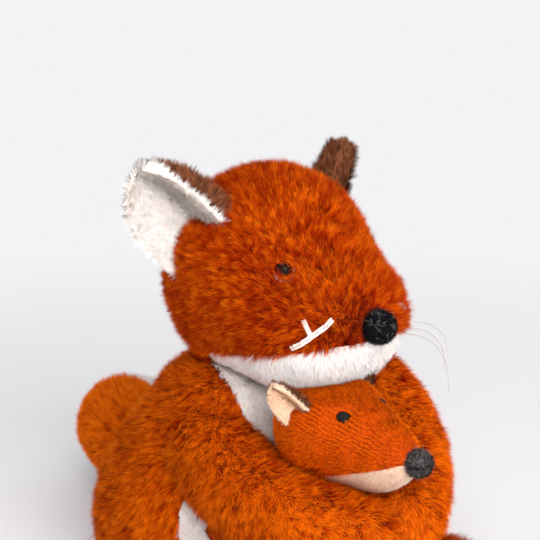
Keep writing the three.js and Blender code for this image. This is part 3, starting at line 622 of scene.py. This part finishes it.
def along_route(*route):
    """Along the nearest leg of a route of points."""
    route = np.array(route, dtype=float)
    ways = unit(route[1:] - route[:-1])
    middles = (route[1:] + route[:-1]) / 2

    def flow(places):
        away = np.linalg.norm(places[:, None] - middles[None], axis=2)
        weights = np.exp(-((away - away.min(axis=1, keepdims=True)) / ROUTE_BLEND))
        return unit(weights @ ways)

    return flow


def hanging(route):
    """Half along a route, half straight down."""
    flow = along_route(*route)
    return lambda places: unit(flow(places) * 0.6 - UP)


def clear_of(spots):
    """True for places further than a radius from every spot. Spots are a point and a radius in mm."""
    def keep(places):
        return np.all([np.linalg.norm(places - p, axis=1) > r * MM for p, r in spots], axis=0)
    return keep


def local(place, point):
    """A point in mm in a head's own frame, as a place in metres."""
    return np.array(Vector(place["middle"]) + turn_of(place) @ (Vector(point) * MM))


# The forms

PANEL_HALF = ((0, 60), (45, 60), (60, 38), (79, 20), (90, 25), (103, 28))  # height and half width, mm


def in_panel(places):
    """Whether places lie in the width of the belly panel, which is narrow between the arms."""
    heights, halves = np.array(PANEL_HALF).T * MM
    return np.abs(places[:, 0]) < np.interp(places[:, 2], heights, halves)


head = Form(["head_skin", "jaw_panel"], 1.6, 8, ["head_stuffing"])
torso = Form(["torso_skin", "belly_panel"], 2.0, 10, ["torso_stuffing", "pellet_pouch"], limit=in_panel)
arms = {side: Form([f"arm_{side}"], 1.8, 10) for side in SIDES}
legs = {side: Form([f"leg_{side}"], 1.8, 10) for side in SIDES}
tail = Form(["tail", "tail_tip"], 1.8, 10)
cub_head = Form(["cub_head", "cub_jaw_panel"], 1.0, 6)
cub_body = Form(["cub_body"], 1.2, 8)
cub_legs = {side: Form([f"cub_leg_{side}"], 1.0, 8) for side in SIDES}


def ear_form(name, place, side, voxel, laps_over, laps_at):
    """An ear whose lining laps round its outer edge, and stops short of the inner edge that rolls over."""
    turn, sense = turn_of(place), SENSE[side]
    mouth, axis = (np.array(turn @ Vector((sense * way[0], *way[1:]))) for way in (EAR_MOUTH, EAR_AXIS))
    inward = unit(np.cross(axis, mouth)) * -sense
    box = np.array(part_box(f"{name}_{side}_back"))
    middle, half = box.mean(axis=0), np.ptp(box, axis=0).max() / 2
    root = middle - UP * half

    def across(places):
        return (places - middle) @ inward / half

    def laps(places):
        return np.interp(across(places), laps_at, laps_over)

    def open_side(places):
        normals = np.array([form.tree.find_nearest(p)[1] for p in places.tolist()])
        return normals @ mouth > np.interp(across(places), (laps_at[0], laps_at[0] + 0.4), (-0.8, -0.35))

    def combed(places):
        """Up the ear, and from the middle of its cup out to its edges."""
        return unit(places - root) * 0.6 + np.tanh(across(places) * 4)[:, None] * inward

    form = Form([f"{name}_{side}_back", f"{name}_{side}_lining"], voxel, 4, lap=laps, limit=open_side)
    form.combed, form.mouth = combed, mouth
    return form


ears = {
    "right": ear_form("ear", FOX_HEAD, "right", 0.8, (4.4, 3.6, 1.0), (0.1, 0.35, 0.6)),
    "left": ear_form("ear", FOX_HEAD, "left", 0.8, (4.4, 2.2, -1.0), (-0.5, -0.1, 0.3)),
}
cub_ears = {
    "right": ear_form("cub_ear", CUB_HEAD, "right", 0.5, (2.0, 1.6, 0.4), (0.0, 0.3, 0.6)),
    "left": ear_form("cub_ear", CUB_HEAD, "left", 0.5, (2.0, 1.0, -0.4), (-0.5, 0.0, 0.4)),
}
noses = {"nose": Form(["nose"], 0.7, 4), "cub_nose": Form(["cub_nose"], 0.6, 4)}

# Stitches draw the cloth in at the eyes, and the chin flattens the cub's crown

EYE_DENT, CUB_EYE_DENT = (2.2, 6.5), (1.0, 4.0)  # depth and radius, mm


def eyes_of(form, place, eye):
    """Where the right and the left eye are sewn on, with the normal at each."""
    return [form.on(place, (sense * eye[0], *eye[1:])) for sense in (-1, 1)]


for form, place, eye, dent in ((head, FOX_HEAD, FOX_EYE, EYE_DENT), (cub_head, CUB_HEAD, CUB_EYE, CUB_EYE_DENT)):
    for spot, _ in eyes_of(form, place, eye):
        form.dent(spot, *dent)
CROWN = 0.0995
CHIN_EDGE = (4 * MM, 14 * MM)
PRESSED_SHARE = 0.6
pressed = cub_head.points.copy()
under_chin = np.interp(pressed[:, 0], CHIN_EDGE, (PRESSED_SHARE, 0.0))
pressed[:, 2] -= np.maximum(pressed[:, 2] - CROWN, 0) * under_chin
cub_head.reshape(pressed)

COVERS = [
    ("head_cover", head, "head_skin", "rust", "head"),
    ("jaw_cover", head, "jaw_panel", "white", "head"),
    ("torso_cover", torso, "torso_skin", "rust", "torso"),
    ("belly_cover", torso, "belly_panel", "white", "torso"),
    *((f"arm_{side}_cover", arms[side], f"arm_{side}", "rust", f"arm_{side}") for side in SIDES),
    *((f"leg_{side}_cover", legs[side], f"leg_{side}", "rust", f"leg_{side}") for side in SIDES),
    ("tail_cover", tail, "tail", "rust", "tail"),
    ("tail_tip_cover", tail, "tail_tip", "white", "tail"),
    ("cub_head_cover", cub_head, "cub_head", "orange", "torso"),
    ("cub_jaw_cover", cub_head, "cub_jaw_panel", "cream", "torso"),
    ("cub_body_cover", cub_body, "cub_body", "orange", "torso"),
    *((f"cub_leg_{side}_cover", cub_legs[side], f"cub_leg_{side}", "orange", "torso") for side in SIDES),
    ("nose_ball", noses["nose"], "nose", "black", "head"),
    ("cub_nose_ball", noses["cub_nose"], "cub_nose", "grey", "torso"),
]
for side in SIDES:
    COVERS += [
        (f"ear_{side}_back_cover", ears[side], f"ear_{side}_back", "brown", "head"),
        (f"ear_{side}_lining_cover", ears[side], f"ear_{side}_lining", "white", "head"),
        (f"cub_ear_{side}_back_cover", cub_ears[side], f"cub_ear_{side}_back", "brown", "torso"),
        (f"cub_ear_{side}_lining_cover", cub_ears[side], f"cub_ear_{side}_lining", "cream", "torso"),
    ]
for row in COVERS:
    cover(*row)

# Pile on each panel

NOSE_TIP, NOSE_SEAT = local(FOX_HEAD, (0, -60, -14)), local(FOX_HEAD, (0, -56, -13))
CUB_NOSE_TIP, CUB_NOSE_SEAT = local(CUB_HEAD, (0, -42, -4)), local(CUB_HEAD, (0, -38, -5))
EYES = eyes_of(head, FOX_HEAD, FOX_EYE)
CUB_EYES = eyes_of(cub_head, CUB_HEAD, CUB_EYE)
LONG = {"density": 9.0, "length": 5.0, "width": 0.2, "lean": 40, "tuft": 1.3, "pull": 0.26, "stray": 0.45,
        "frizz": 0.4, "mottle": 0.38}
GUARD = {"density": 1.0, "length": 6.0, "width": 0.19, "lean": 44, "tuft": 2.4, "pull": 0.3, "bent": True,
         "stray": 0.5, "frizz": 0.6, "mottle": 0.25}
SHORT = {"density": 12.0, "length": 2.6, "width": 0.2, "lean": 46, "tuft": 1.2, "pull": 0.2}
EAR_BACK = {"density": 9.0, "length": 3.8, "width": 0.2, "lean": 46, "tuft": 1.5, "pull": 0.3}
EAR_LINING = {"density": 15.0, "length": 3.6, "width": 0.18, "lean": 50, "tuft": 1.3, "pull": 0.16}
JAW = {**SHORT, "density": 15.0, "length": 2.8, "tuft": 0.9, "pull": 0.1, "stray": 0.12, "mottle": 0.08}
BELLY = {**SHORT, "length": 3.2}
VELVET = {"density": 16.0, "length": 1.7, "width": 0.16, "lean": 34, "tuft": 0.7, "pull": 0.15}
CUB_JAW = {**VELVET, "length": 1.5}
CUB_EAR_BACK = {**VELVET, "length": 2.2}
CUB_LINING = {**CUB_JAW, "density": 18.0, "lean": 48}
EAR_HALF, CUB_EAR_HALF = 18 * MM, 9 * MM
MUZZLE_PILE = 0.68
MUZZLE_REACH, CROWN_REACH = 12 * MM, 42 * MM
# Painted shade on the face and painted light at the back of the head, as lifts of the head pile's shade
FACE_PAINTED_SHADE, NAPE_PAINTED_LIGHT = -0.17, 0.2
FACE_END, NAPE_START = -2 * MM, 14 * MM


def face_scale(places):
    """The pile is shorter on the muzzle than on the crown."""
    away = np.linalg.norm(places - NOSE_TIP, axis=1)
    return np.clip(MUZZLE_PILE + (away - MUZZLE_REACH) / (CROWN_REACH - MUZZLE_REACH), MUZZLE_PILE, 1.0)


def head_painted_light(places):
    """Painted shade darkens the pile on the face, and painted light brightens it at the back of the head."""
    return np.interp(places[:, 1], (FACE_END, NAPE_START), (FACE_PAINTED_SHADE, NAPE_PAINTED_LIGHT))


def long_fur(name, form, node, body, density=1.0, **settings):
    """The fox's long rust pile: dense straight strands with longer bent ones among them."""
    seed = settings.pop("seed")
    for part, kind, step in (("pile", LONG, 0), ("guard", GUARD, 100)):
        fur(f"{name}_{part}", form, node, "rust", body, seed=seed + step,
            **{**kind, "density": kind["density"] * density, **settings})


def mark_ways(sense):
    """The directions of a cheek mark's ends, its branch and where the two meet."""
    low, high, branch = (np.array(way) * (sense, 1, 1) for way in (*CHEEK_STITCH, CHEEK_BRANCH))
    return low, high, branch, low * (1 - BRANCH_MEETS) + high * BRANCH_MEETS


def far_mark_spots():
    """Where the pile is drawn down under the threads of the left cheek's mark."""
    low, high, branch, meet = mark_ways(1)
    shares = [low * (1 - t) + high * t for t in np.linspace(0, 1, 14)]
    shares += [branch * (1 - t) + meet * t for t in np.linspace(0, 1, 7)]
    return [(head.on(FOX_HEAD, share)[0], 1.1) for share in shares]


FACE_SPOTS = [(EYES[0][0], 2.3), (EYES[1][0], 2.3), (NOSE_SEAT, 6.5), *far_mark_spots()]
long_fur("head", head, "head_skin", "head", seed=1, flow=from_point(NOSE_TIP, 0.15), scale=face_scale,
         lift=head_painted_light, keep=clear_of(FACE_SPOTS))
# Painted light lifts the jaw's white pile, which faces down into shade, to a lighter shade
fur("jaw_pile", head, "jaw_panel", "white", "head", **JAW, seed=2, toward=(-0.3, -0.5, 0.1), lift=0.25,
    flow=along((0, -0.3, -1)), keep=clear_of([(NOSE_SEAT, 6.0)]))
# Painted light lifts the torso's rust pile to a lighter shade than the head's
long_fur("torso", torso, "torso_skin", "torso", seed=3, flow=along((0, 0.2, -1)), lift=0.26)
fur("belly_pile", torso, "belly_panel", "white", "torso", **BELLY, seed=4, flow=along((0, -0.2, -1)))
ARM_ROUTES = {
    "right": ((-.030, -.020, .078), (-.033, -.036, .071), (-.031, -.060, .061), (-.023, -.084, .055),
              (-.008, -.103, .051)),
    "left": ((.036, -.018, .088), (.041, -.036, .083), (.041, -.057, .071), (.032, -.077, .060),
             (.018, -.094, .053)),
}
# Painted light: the arms' rust pile is lifted to a lighter shade, the far left arm the most
ARM_SHADES = {
    "right": {"lift": 0.34},
    "left": {"lift": 0.5, "toward": (-0.2, -0.3, 0.5)},
}
for number, side in enumerate(SIDES):
    long_fur(f"arm_{side}", arms[side], f"arm_{side}", f"arm_{side}", seed=5 + number,
             flow=hanging(ARM_ROUTES[side]), lean=54, **ARM_SHADES[side])
    # Painted light lifts the legs' rust pile to a lighter shade
    long_fur(f"leg_{side}", legs[side], f"leg_{side}", f"leg_{side}", density=0.8, seed=7 + number,
             flow=along((SENSE[side] * 0.15, -0.7, -0.8)), lift=0.25)
    ear_root = np.array(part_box(f"ear_{side}_back")).mean(axis=0) - UP * EAR_HALF
    fur(f"ear_{side}_back_pile", ears[side], f"ear_{side}_back", "brown", "head", **EAR_BACK, seed=9 + number,
        flow=from_point(ear_root))
    fur(f"ear_{side}_lining_pile", ears[side], f"ear_{side}_lining", "white", "head", **EAR_LINING,
        seed=11 + number, flow=ears[side].combed, toward=ears[side].mouth * 0.8 + UP * 1.1)
    cub_root = np.array(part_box(f"cub_ear_{side}_back")).mean(axis=0) - UP * CUB_EAR_HALF
    fur(f"cub_ear_{side}_back_pile", cub_ears[side], f"cub_ear_{side}_back", "brown", "torso", **CUB_EAR_BACK,
        seed=13 + number, flow=from_point(cub_root))
    fur(f"cub_ear_{side}_lining_pile", cub_ears[side], f"cub_ear_{side}_lining", "cream", "torso", **CUB_LINING,
        seed=15 + number, flow=cub_ears[side].combed, toward=cub_ears[side].mouth * 0.9 + UP * 0.7)
    fur(f"cub_leg_{side}_pile", cub_legs[side], f"cub_leg_{side}", "orange", "torso", **VELVET,
        seed=17 + number, flow=along((SENSE[side], 0.3, 0)))
TAIL_ROUTE = ((0, .046, .023), (-.011, .070, .031), (-.014, .094, .035), (-.006, .117, .035), (.014, .136, .031))
# Painted light lifts the tail's rust pile to a lighter shade
long_fur("tail", tail, "tail", "tail", density=0.9, seed=19, flow=along_route(*TAIL_ROUTE), lift=0.45,
         toward=(-0.2, -0.4, 0.5))
fur("tail_tip_pile", tail, "tail_tip", "white", "tail", **LONG, seed=20, flow=along_route(*TAIL_ROUTE))
fur("cub_head_pile", cub_head, "cub_head", "orange", "torso", **VELVET, seed=21,
    flow=from_point(CUB_NOSE_TIP, 0.1), rows=((0.2, -0.3, 1), 1.3), lift=0.08,
    keep=clear_of([(CUB_EYES[0][0], 1.9), (CUB_EYES[1][0], 1.9), (CUB_NOSE_SEAT, 4.6)]))
fur("cub_jaw_pile", cub_head, "cub_jaw_panel", "cream", "torso", **CUB_JAW, seed=22,
    flow=from_point(CUB_NOSE_TIP, 0.2))
fur("cub_body_pile", cub_body, "cub_body", "orange", "torso", **VELVET, seed=23, flow=along((0, 0, -1)))
FIBRE = {"density": 22.0, "length": 1.9, "width": 0.09, "lean": 72, "tuft": 0.8, "pull": 0.1, "ragged": 0.9,
         "bent": True, "stray": 0.8}
STRAY = {"density": 0.35, "length": 3.4, "width": 0.08, "lean": 76, "tuft": 1.5, "pull": 0.0, "ragged": 0.9,
         "bent": True, "stray": 1.5}


def round_and_round(middle):
    """Fibres wound about a ball."""
    return lambda places: np.cross(places - middle, (0.3, 0.2, 1.0)) + 0.4 * np.cross(places - middle, UP[::-1])


for number, (name, look, body) in enumerate((("nose", "black", "head"), ("cub_nose", "grey", "torso"))):
    wound = round_and_round(np.array(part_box(name)).mean(axis=0))
    fur(f"{name}_fibres", noses[name], name, look, body, **FIBRE, seed=24 + number, flow=wound)
    fur(f"{name}_strays", noses[name], name, "stray", body, **STRAY, seed=26 + number, flow=wound)

# Eyes, marks and whiskers


def lathe(name, profile, place, normal, steps=48):
    """A closed round body from points of radius and height in mm, turned to a normal at a place."""
    turn = Vector(normal).to_track_quat("Z", "Y").to_matrix()
    angles = np.linspace(0, 2 * math.pi, steps, endpoint=False)
    points, faces = [], []
    for radius, height in profile:
        ring = np.stack([radius * np.cos(angles), radius * np.sin(angles), np.full(steps, height)], axis=1)
        points.append(ring * MM)
    for r in range(len(profile) - 1):
        for s in range(steps):
            t = (s + 1) % steps
            faces.append((r * steps + s, r * steps + t, (r + 1) * steps + t, (r + 1) * steps + s))
    everything = np.concatenate(points) @ np.array(turn).T + np.array(place)
    work = bmesh.new()
    made = [work.verts.new(p) for p in everything]
    for face in faces:
        work.faces.new([made[i] for i in face])
    bmesh.ops.remove_doubles(work, verts=work.verts, dist=WELD / 10)
    bmesh.ops.recalc_face_normals(work, faces=work.faces)
    mesh = bpy.data.meshes.new(name)
    work.to_mesh(mesh)
    work.free()
    smooth_shaded(mesh)
    return link(name, mesh)


def bead_profile(width, height, sink):
    dome = [(width / 2 * math.cos(a), height * math.sin(a)) for a in np.linspace(0, math.pi / 2, 14)]
    return [(0, -sink), (width / 2, -sink), *dome]


EYE_WIDTH, EYE_HEIGHT, EYE_SINK, EYE_PROUD = 7.0, 3.6, 1.5, 0.5
BEAD = grained("bead_plastic", (0.004, 0.003, 0.003), (0.012, 0.008, 0.007), 300.0, 0.2, 0.06).material
for side, (place, normal) in zip(SIDES, EYES):
    eye = lathe(f"eye_{side}_bead", bead_profile(EYE_WIDTH, EYE_HEIGHT, EYE_SINK),
                place + normal * EYE_PROUD * MM, normal)
    eye.data.materials.append(BEAD)
    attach(eye, "head")
    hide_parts(f"eye_{side}")


def tube(name, paths, radius, taper=1.0, sides=8):
    """Round tubes along lists of points, with closed ends."""
    points, faces = [], []
    for path in paths:
        path = np.array(path)
        start = len(points)
        ways = unit(np.gradient(path, axis=0))
        guide = np.array([0.3, 0.2, 0.93])
        for i, (middle, way) in enumerate(zip(path, ways)):
            a = unit(np.cross(way, guide))
            b = np.cross(way, a)
            size = radius * (1 + (taper - 1) * i / (len(path) - 1))
            for s in range(sides):
                angle = 2 * math.pi * s / sides
                points.append(middle + size * (a * math.cos(angle) + b * math.sin(angle)))
        for r in range(len(path) - 1):
            for s in range(sides):
                t = (s + 1) % sides
                row = start + r * sides
                faces.append((row + s, row + t, row + sides + t, row + sides + s))
        faces.append(tuple(range(start + sides - 1, start - 1, -1)))
        faces.append(tuple(range(len(points) - sides, len(points))))
    mesh = bpy.data.meshes.new(name)
    mesh.from_pydata([tuple(p) for p in points], [], faces)
    smooth_shaded(mesh)
    return link(name, mesh)


def smooth_path(controls, count):
    """A smooth path of points through control points."""
    controls = np.array(controls, dtype=float)
    ends = np.concatenate([[2 * controls[0] - controls[1]], controls, [2 * controls[-1] - controls[-2]]])
    places = np.linspace(0, len(controls) - 1, count)
    found = []
    for t in places:
        i = min(int(t), len(controls) - 2)
        f = t - i
        a, b, c, d = ends[i:i + 4]
        found.append(0.5 * (2 * b + (c - a) * f + (2 * a - 5 * b + 4 * c - d) * f * f
                            + (3 * b - a - 3 * c + d) * f ** 3))
    return np.array(found)


def floss_material(name, dark, light):
    return grained(name, dark, light, 1500.0, 0.55, 0.15, 0.08, (0.3, 0.65), 4.0).material


WHITE_FLOSS = floss_material("white_floss_thread", linear(190, 172, 162), linear(242, 234, 229))
BLACK_FLOSS = floss_material("black_floss_thread", linear(5, 4, 4), linear(26, 23, 22))


def floss(path, normals, radius, turns, plies=3):
    """Plies that wind round a path."""
    ways = unit(np.gradient(path, axis=0))
    a = unit(across_normal(normals, ways))
    b = np.cross(ways, a)
    wound = []
    for ply in range(plies):
        angle = np.linspace(0, turns * 2 * math.pi, len(path)) + 2 * math.pi * ply / plies
        wound.append(path + radius * (a * np.cos(angle)[:, None] + b * np.sin(angle)[:, None]))
    return wound


STITCH_POINTS = 44
STITCH_ARCH = 1.2
STITCH_TWISTS = 5
STITCH_WIND, STITCH_THREAD = 0.26 * MM, 0.31 * MM
MARK_SPLIT, BRANCH_SPLIT = 0.55, 0.42  # half the gap between a stitch's two threads, mm
MARK_LIFTS = {"right": 2.2, "left": 0.5}


def cheek_path(start, end, lift_from, lift_to):
    """Points over the cheek between two directions, lifted clear of the pile."""
    share = np.linspace(0, 1, STITCH_POINTS)
    found = [head.on(FOX_HEAD, np.array(start) * (1 - t) + np.array(end) * t) for t in share]
    lift = (lift_from + (lift_to - lift_from) * share) * MM
    points, normals = (np.array(rows) for rows in zip(*found))
    return points + normals * lift[:, None], normals


def add_cheek_mark(name, sense, lift):
    """A stitch with a branch, each of two threads of twisted floss."""
    low, high, branch, meet = mark_ways(sense)
    arch = np.sin(np.linspace(0, math.pi, STITCH_POINTS))[:, None]
    paths = []
    for start, end, arched, split in ((low, high, True, MARK_SPLIT), (branch, meet, False, BRANCH_SPLIT)):
        path, normals = cheek_path(start, end, lift, lift if arched else lift + STITCH_ARCH)
        if arched:
            path = path + normals * arch * STITCH_ARCH * MM
        apart = unit(np.cross(normals, np.gradient(path, axis=0))) * split * MM
        for gap in (-apart, apart):
            paths += floss(path + gap, normals, STITCH_WIND, STITCH_TWISTS)
    obj = tube(name, paths, STITCH_THREAD)
    obj.data.materials.append(WHITE_FLOSS)
    return obj


for side in SIDES:
    mark = add_cheek_mark(f"cheek_mark_{side}_floss", SENSE[side], MARK_LIFTS[side])
    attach(mark, "head")
    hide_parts(f"cheek_mark_{side}")


WHISKER_BEND = ((0, 0), (0.3, 0.05), (0.59, 0.17), (0.8, 0.36), (0.94, 0.6), (1, 1))  # shares out and down
WHISKER_SINK, WHISKER_THREAD, WHISKER_TAPER = 1.0 * MM, 0.17 * MM, 0.35
WHISKER_LOOK = grained("whisker_fibre", linear(150, 126, 116), linear(196, 174, 164), 500.0, 0.35).material


def add_whisker(index, out, forward, down):
    """A hair that leaves the left cheek outwards and bends down."""
    turn = np.array(turn_of(FOX_HEAD))
    start, normal = head.on(FOX_HEAD, (WHISKER_ROOT[0], WHISKER_ROOT[1], WHISKER_ROOT[2] - WHISKER_SPREAD * index))
    controls = [start + turn @ np.array((out * r, -forward * r, -down * d)) for r, d in WHISKER_BEND]
    controls[0] = start - normal * WHISKER_SINK
    hair = tube(f"whisker_{index + 1}_hair", [smooth_path(controls, 40)], WHISKER_THREAD, WHISKER_TAPER, 6)
    hair.data.materials.append(WHISKER_LOOK)
    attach(hair, "head")
    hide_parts(f"whisker_{index + 1}")


for index, reach in enumerate(WHISKER_REACH):
    add_whisker(index, *reach)


KNOT_THREADS = 9
KNOT_THREAD = 0.34 * MM
KNOT_HALF_WIDTH, KNOT_HALF_HEIGHT, KNOT_RISE, KNOT_SINK = 2.7, 1.9, 1.9, 0.3
KNOT_PAD_WIDTH, KNOT_PAD_HEIGHT, KNOT_PAD_SINK = 4.6, 1.5, 0.4
KNOT_ROUND, KNOT_DOME, KNOT_ARCH, KNOT_TILT = 0.92, 0.75, 0.98, 0.06


def add_knot(name, place, normal, seed):
    """A stitched eye: short threads side by side over a small pad, from edge to edge."""
    rng = np.random.default_rng(seed)
    across = unit(np.cross(normal, UP))
    up = np.cross(across, normal)
    arc = np.linspace(-1, 1, 12)
    paths = []
    for offset in np.linspace(-1, 1, KNOT_THREADS):
        half = KNOT_HALF_WIDTH * math.sqrt(1 - offset * offset * KNOT_ROUND)
        row = up * offset * KNOT_HALF_HEIGHT * MM
        tilt = rng.normal(0, KNOT_TILT)
        rise = KNOT_RISE * (1 - KNOT_DOME * offset * offset)
        height = rise * np.sqrt(1 - arc * arc * KNOT_ARCH) - KNOT_SINK
        paths.append(place + row + across * (arc * half * MM)[:, None] + up * (arc * tilt * MM)[:, None]
                     + normal * (height * MM)[:, None])
    obj = tube(name, paths, KNOT_THREAD)
    obj.data.materials.append(BLACK_FLOSS)
    return obj


for number, (side, (place, normal)) in enumerate(zip(SIDES, CUB_EYES)):
    knot = add_knot(f"cub_eye_{side}_floss", place, normal, 40 + number)
    pad = lathe(f"cub_eye_{side}_pad", bead_profile(KNOT_PAD_WIDTH, KNOT_PAD_HEIGHT, KNOT_PAD_SINK),
                place, normal)
    pad.data.materials.append(BLACK_FLOSS)
    for piece in (knot, pad):
        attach(piece, "torso")
    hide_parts(f"cub_eye_{side}")

# Hidden parts keep their solids and get their own finish

fibre = cloth_material("filling_fibre", linear(214, 210, 202), linear(246, 244, 240), 400.0)
pellets = Nodes("pellet_bag")
grains = pellets.add("ShaderNodeTexVoronoi", {"Scale": 330.0})
pellets.set(
    Base_Color=pellets.ramp(grains.outputs["Distance"], [(0.1, linear(226, 214, 196)), (0.8, linear(160, 146, 126))]),
    Roughness=0.8,
)
pellets.bump(grains.outputs["Distance"], 0.4 * MM)
plastic = grained("washer_plastic", linear(224, 224, 218), linear(240, 240, 236), 250.0, 0.45).material
FINISHES = {
    "torso_stuffing": fibre, "head_stuffing": fibre, "pellet_pouch": pellets.material,
    "eye_washer_right": plastic, "eye_washer_left": plastic,
}
for node, material in FINISHES.items():
    for material_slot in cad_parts[node].material_slots:
        material_slot.material = material

# Floor, backdrop and light

BACKDROP = linear(243, 243, 245)
SWEEP_FRONT, SWEEP_BEND, SWEEP_RADIUS, SWEEP_TOP, SWEEP_HALF_WIDTH = -1.6, 1.0, 0.8, 3.0, 3.0
SHADOW_REACH, SHADOW_END = 0.2, 0.75  # where the floor starts and ends its fade into the backdrop
KEY = {"place": (-0.1, -1.45, 0.62), "size": 1.0, "power": 20.5}
FILL = {"place": (-0.6, -1.0, 1.15), "size": 0.9, "power": 10.0}
LAMP_AIM = (0, -0.03, 0.1)
WORLD_LIGHT = 0.66


def add_stage():
    """A pale sweep, square to the view: a floor that runs up into a backdrop."""
    profile = [(SWEEP_FRONT, 0.0), (SWEEP_BEND, 0.0)]
    for angle in np.linspace(0, math.pi / 2, 12)[1:]:
        profile.append((SWEEP_BEND + SWEEP_RADIUS * math.sin(angle), SWEEP_RADIUS * (1 - math.cos(angle))))
    profile.append((SWEEP_BEND + SWEEP_RADIUS, SWEEP_TOP))
    ahead = np.array((-math.sin(VIEW_AZIMUTH), math.cos(VIEW_AZIMUTH), 0.0))
    aside = np.array((math.cos(VIEW_AZIMUTH), math.sin(VIEW_AZIMUTH), 0.0))
    points = [aside * wide + ahead * depth + UP * height
              for depth, height in profile for wide in (-SWEEP_HALF_WIDTH, SWEEP_HALF_WIDTH)]
    faces = np.array([(2 * i, 2 * i + 1, 2 * i + 3, 2 * i + 2) for i in range(len(profile) - 1)])
    mesh = mesh_of("sweep", np.array(points), faces)
    smooth_shaded(mesh)
    obj = link("sweep", mesh)
    look = grained("sweep_paper", (0.79, 0.78, 0.795), (0.81, 0.80, 0.815), 3.0, 0.9)
    pale = look.add("ShaderNodeEmission", {"Color": (*BACKDROP, 1)})
    path = look.add("ShaderNodeLightPath")
    seen = look.maths("MAXIMUM", path.outputs["Is Camera Ray"], path.outputs["Is Glossy Ray"])
    place = look.add("ShaderNodeNewGeometry").outputs["Position"]
    away = look.add("ShaderNodeVectorMath", {0: place}, operation="LENGTH").outputs["Value"]
    fade = look.add("ShaderNodeMapRange", {0: away, 1: SHADOW_REACH, 2: SHADOW_END},
                    interpolation_type="SMOOTHSTEP").outputs[0]
    shader = look.add("ShaderNodeMixShader", {
        0: look.maths("MULTIPLY", seen, fade), 1: look.shader.outputs[0], 2: pale.outputs[0],
    })
    look.tree.links.new(shader.outputs[0], look.output.inputs["Surface"])
    obj.data.materials.append(look.material)


def area_light(name, place, size, power):
    """A round soft lamp that points at the toy."""
    data = bpy.data.lights.new(name, "AREA")
    data.shape = "DISK"
    data.size = size
    data.energy = power
    lamp = link(name, data)
    lamp.location = place
    lamp.rotation_euler = (Vector(LAMP_AIM) - Vector(place)).to_track_quat("-Z", "Y").to_euler()


def add_world():
    """White light all round, behind a backdrop colour that only the camera and reflections see."""
    world = bpy.data.worlds.new("studio")
    world.use_nodes = True
    tree = world.node_tree
    light = tree.nodes["Background"]
    light.inputs["Color"].default_value = (1.0, 1.0, 1.0, 1)
    light.inputs["Strength"].default_value = WORLD_LIGHT
    pale = add_node(tree, "ShaderNodeBackground", {"Color": (*BACKDROP, 1)})
    path = add_node(tree, "ShaderNodeLightPath").outputs
    seen = add_node(tree, "ShaderNodeMath", {0: path["Is Camera Ray"], 1: path["Is Glossy Ray"]}, operation="MAXIMUM")
    both = add_node(tree, "ShaderNodeMixShader", {0: seen.outputs[0], 1: light.outputs[0], 2: pale.outputs[0]})
    tree.links.new(both.outputs[0], tree.nodes["World Output"].inputs["Surface"])
    bpy.context.scene.world = world


add_stage()
add_world()
area_light("key", **KEY)
area_light("fill", **FILL)
bpy.context.scene.view_settings.view_transform = "Standard"
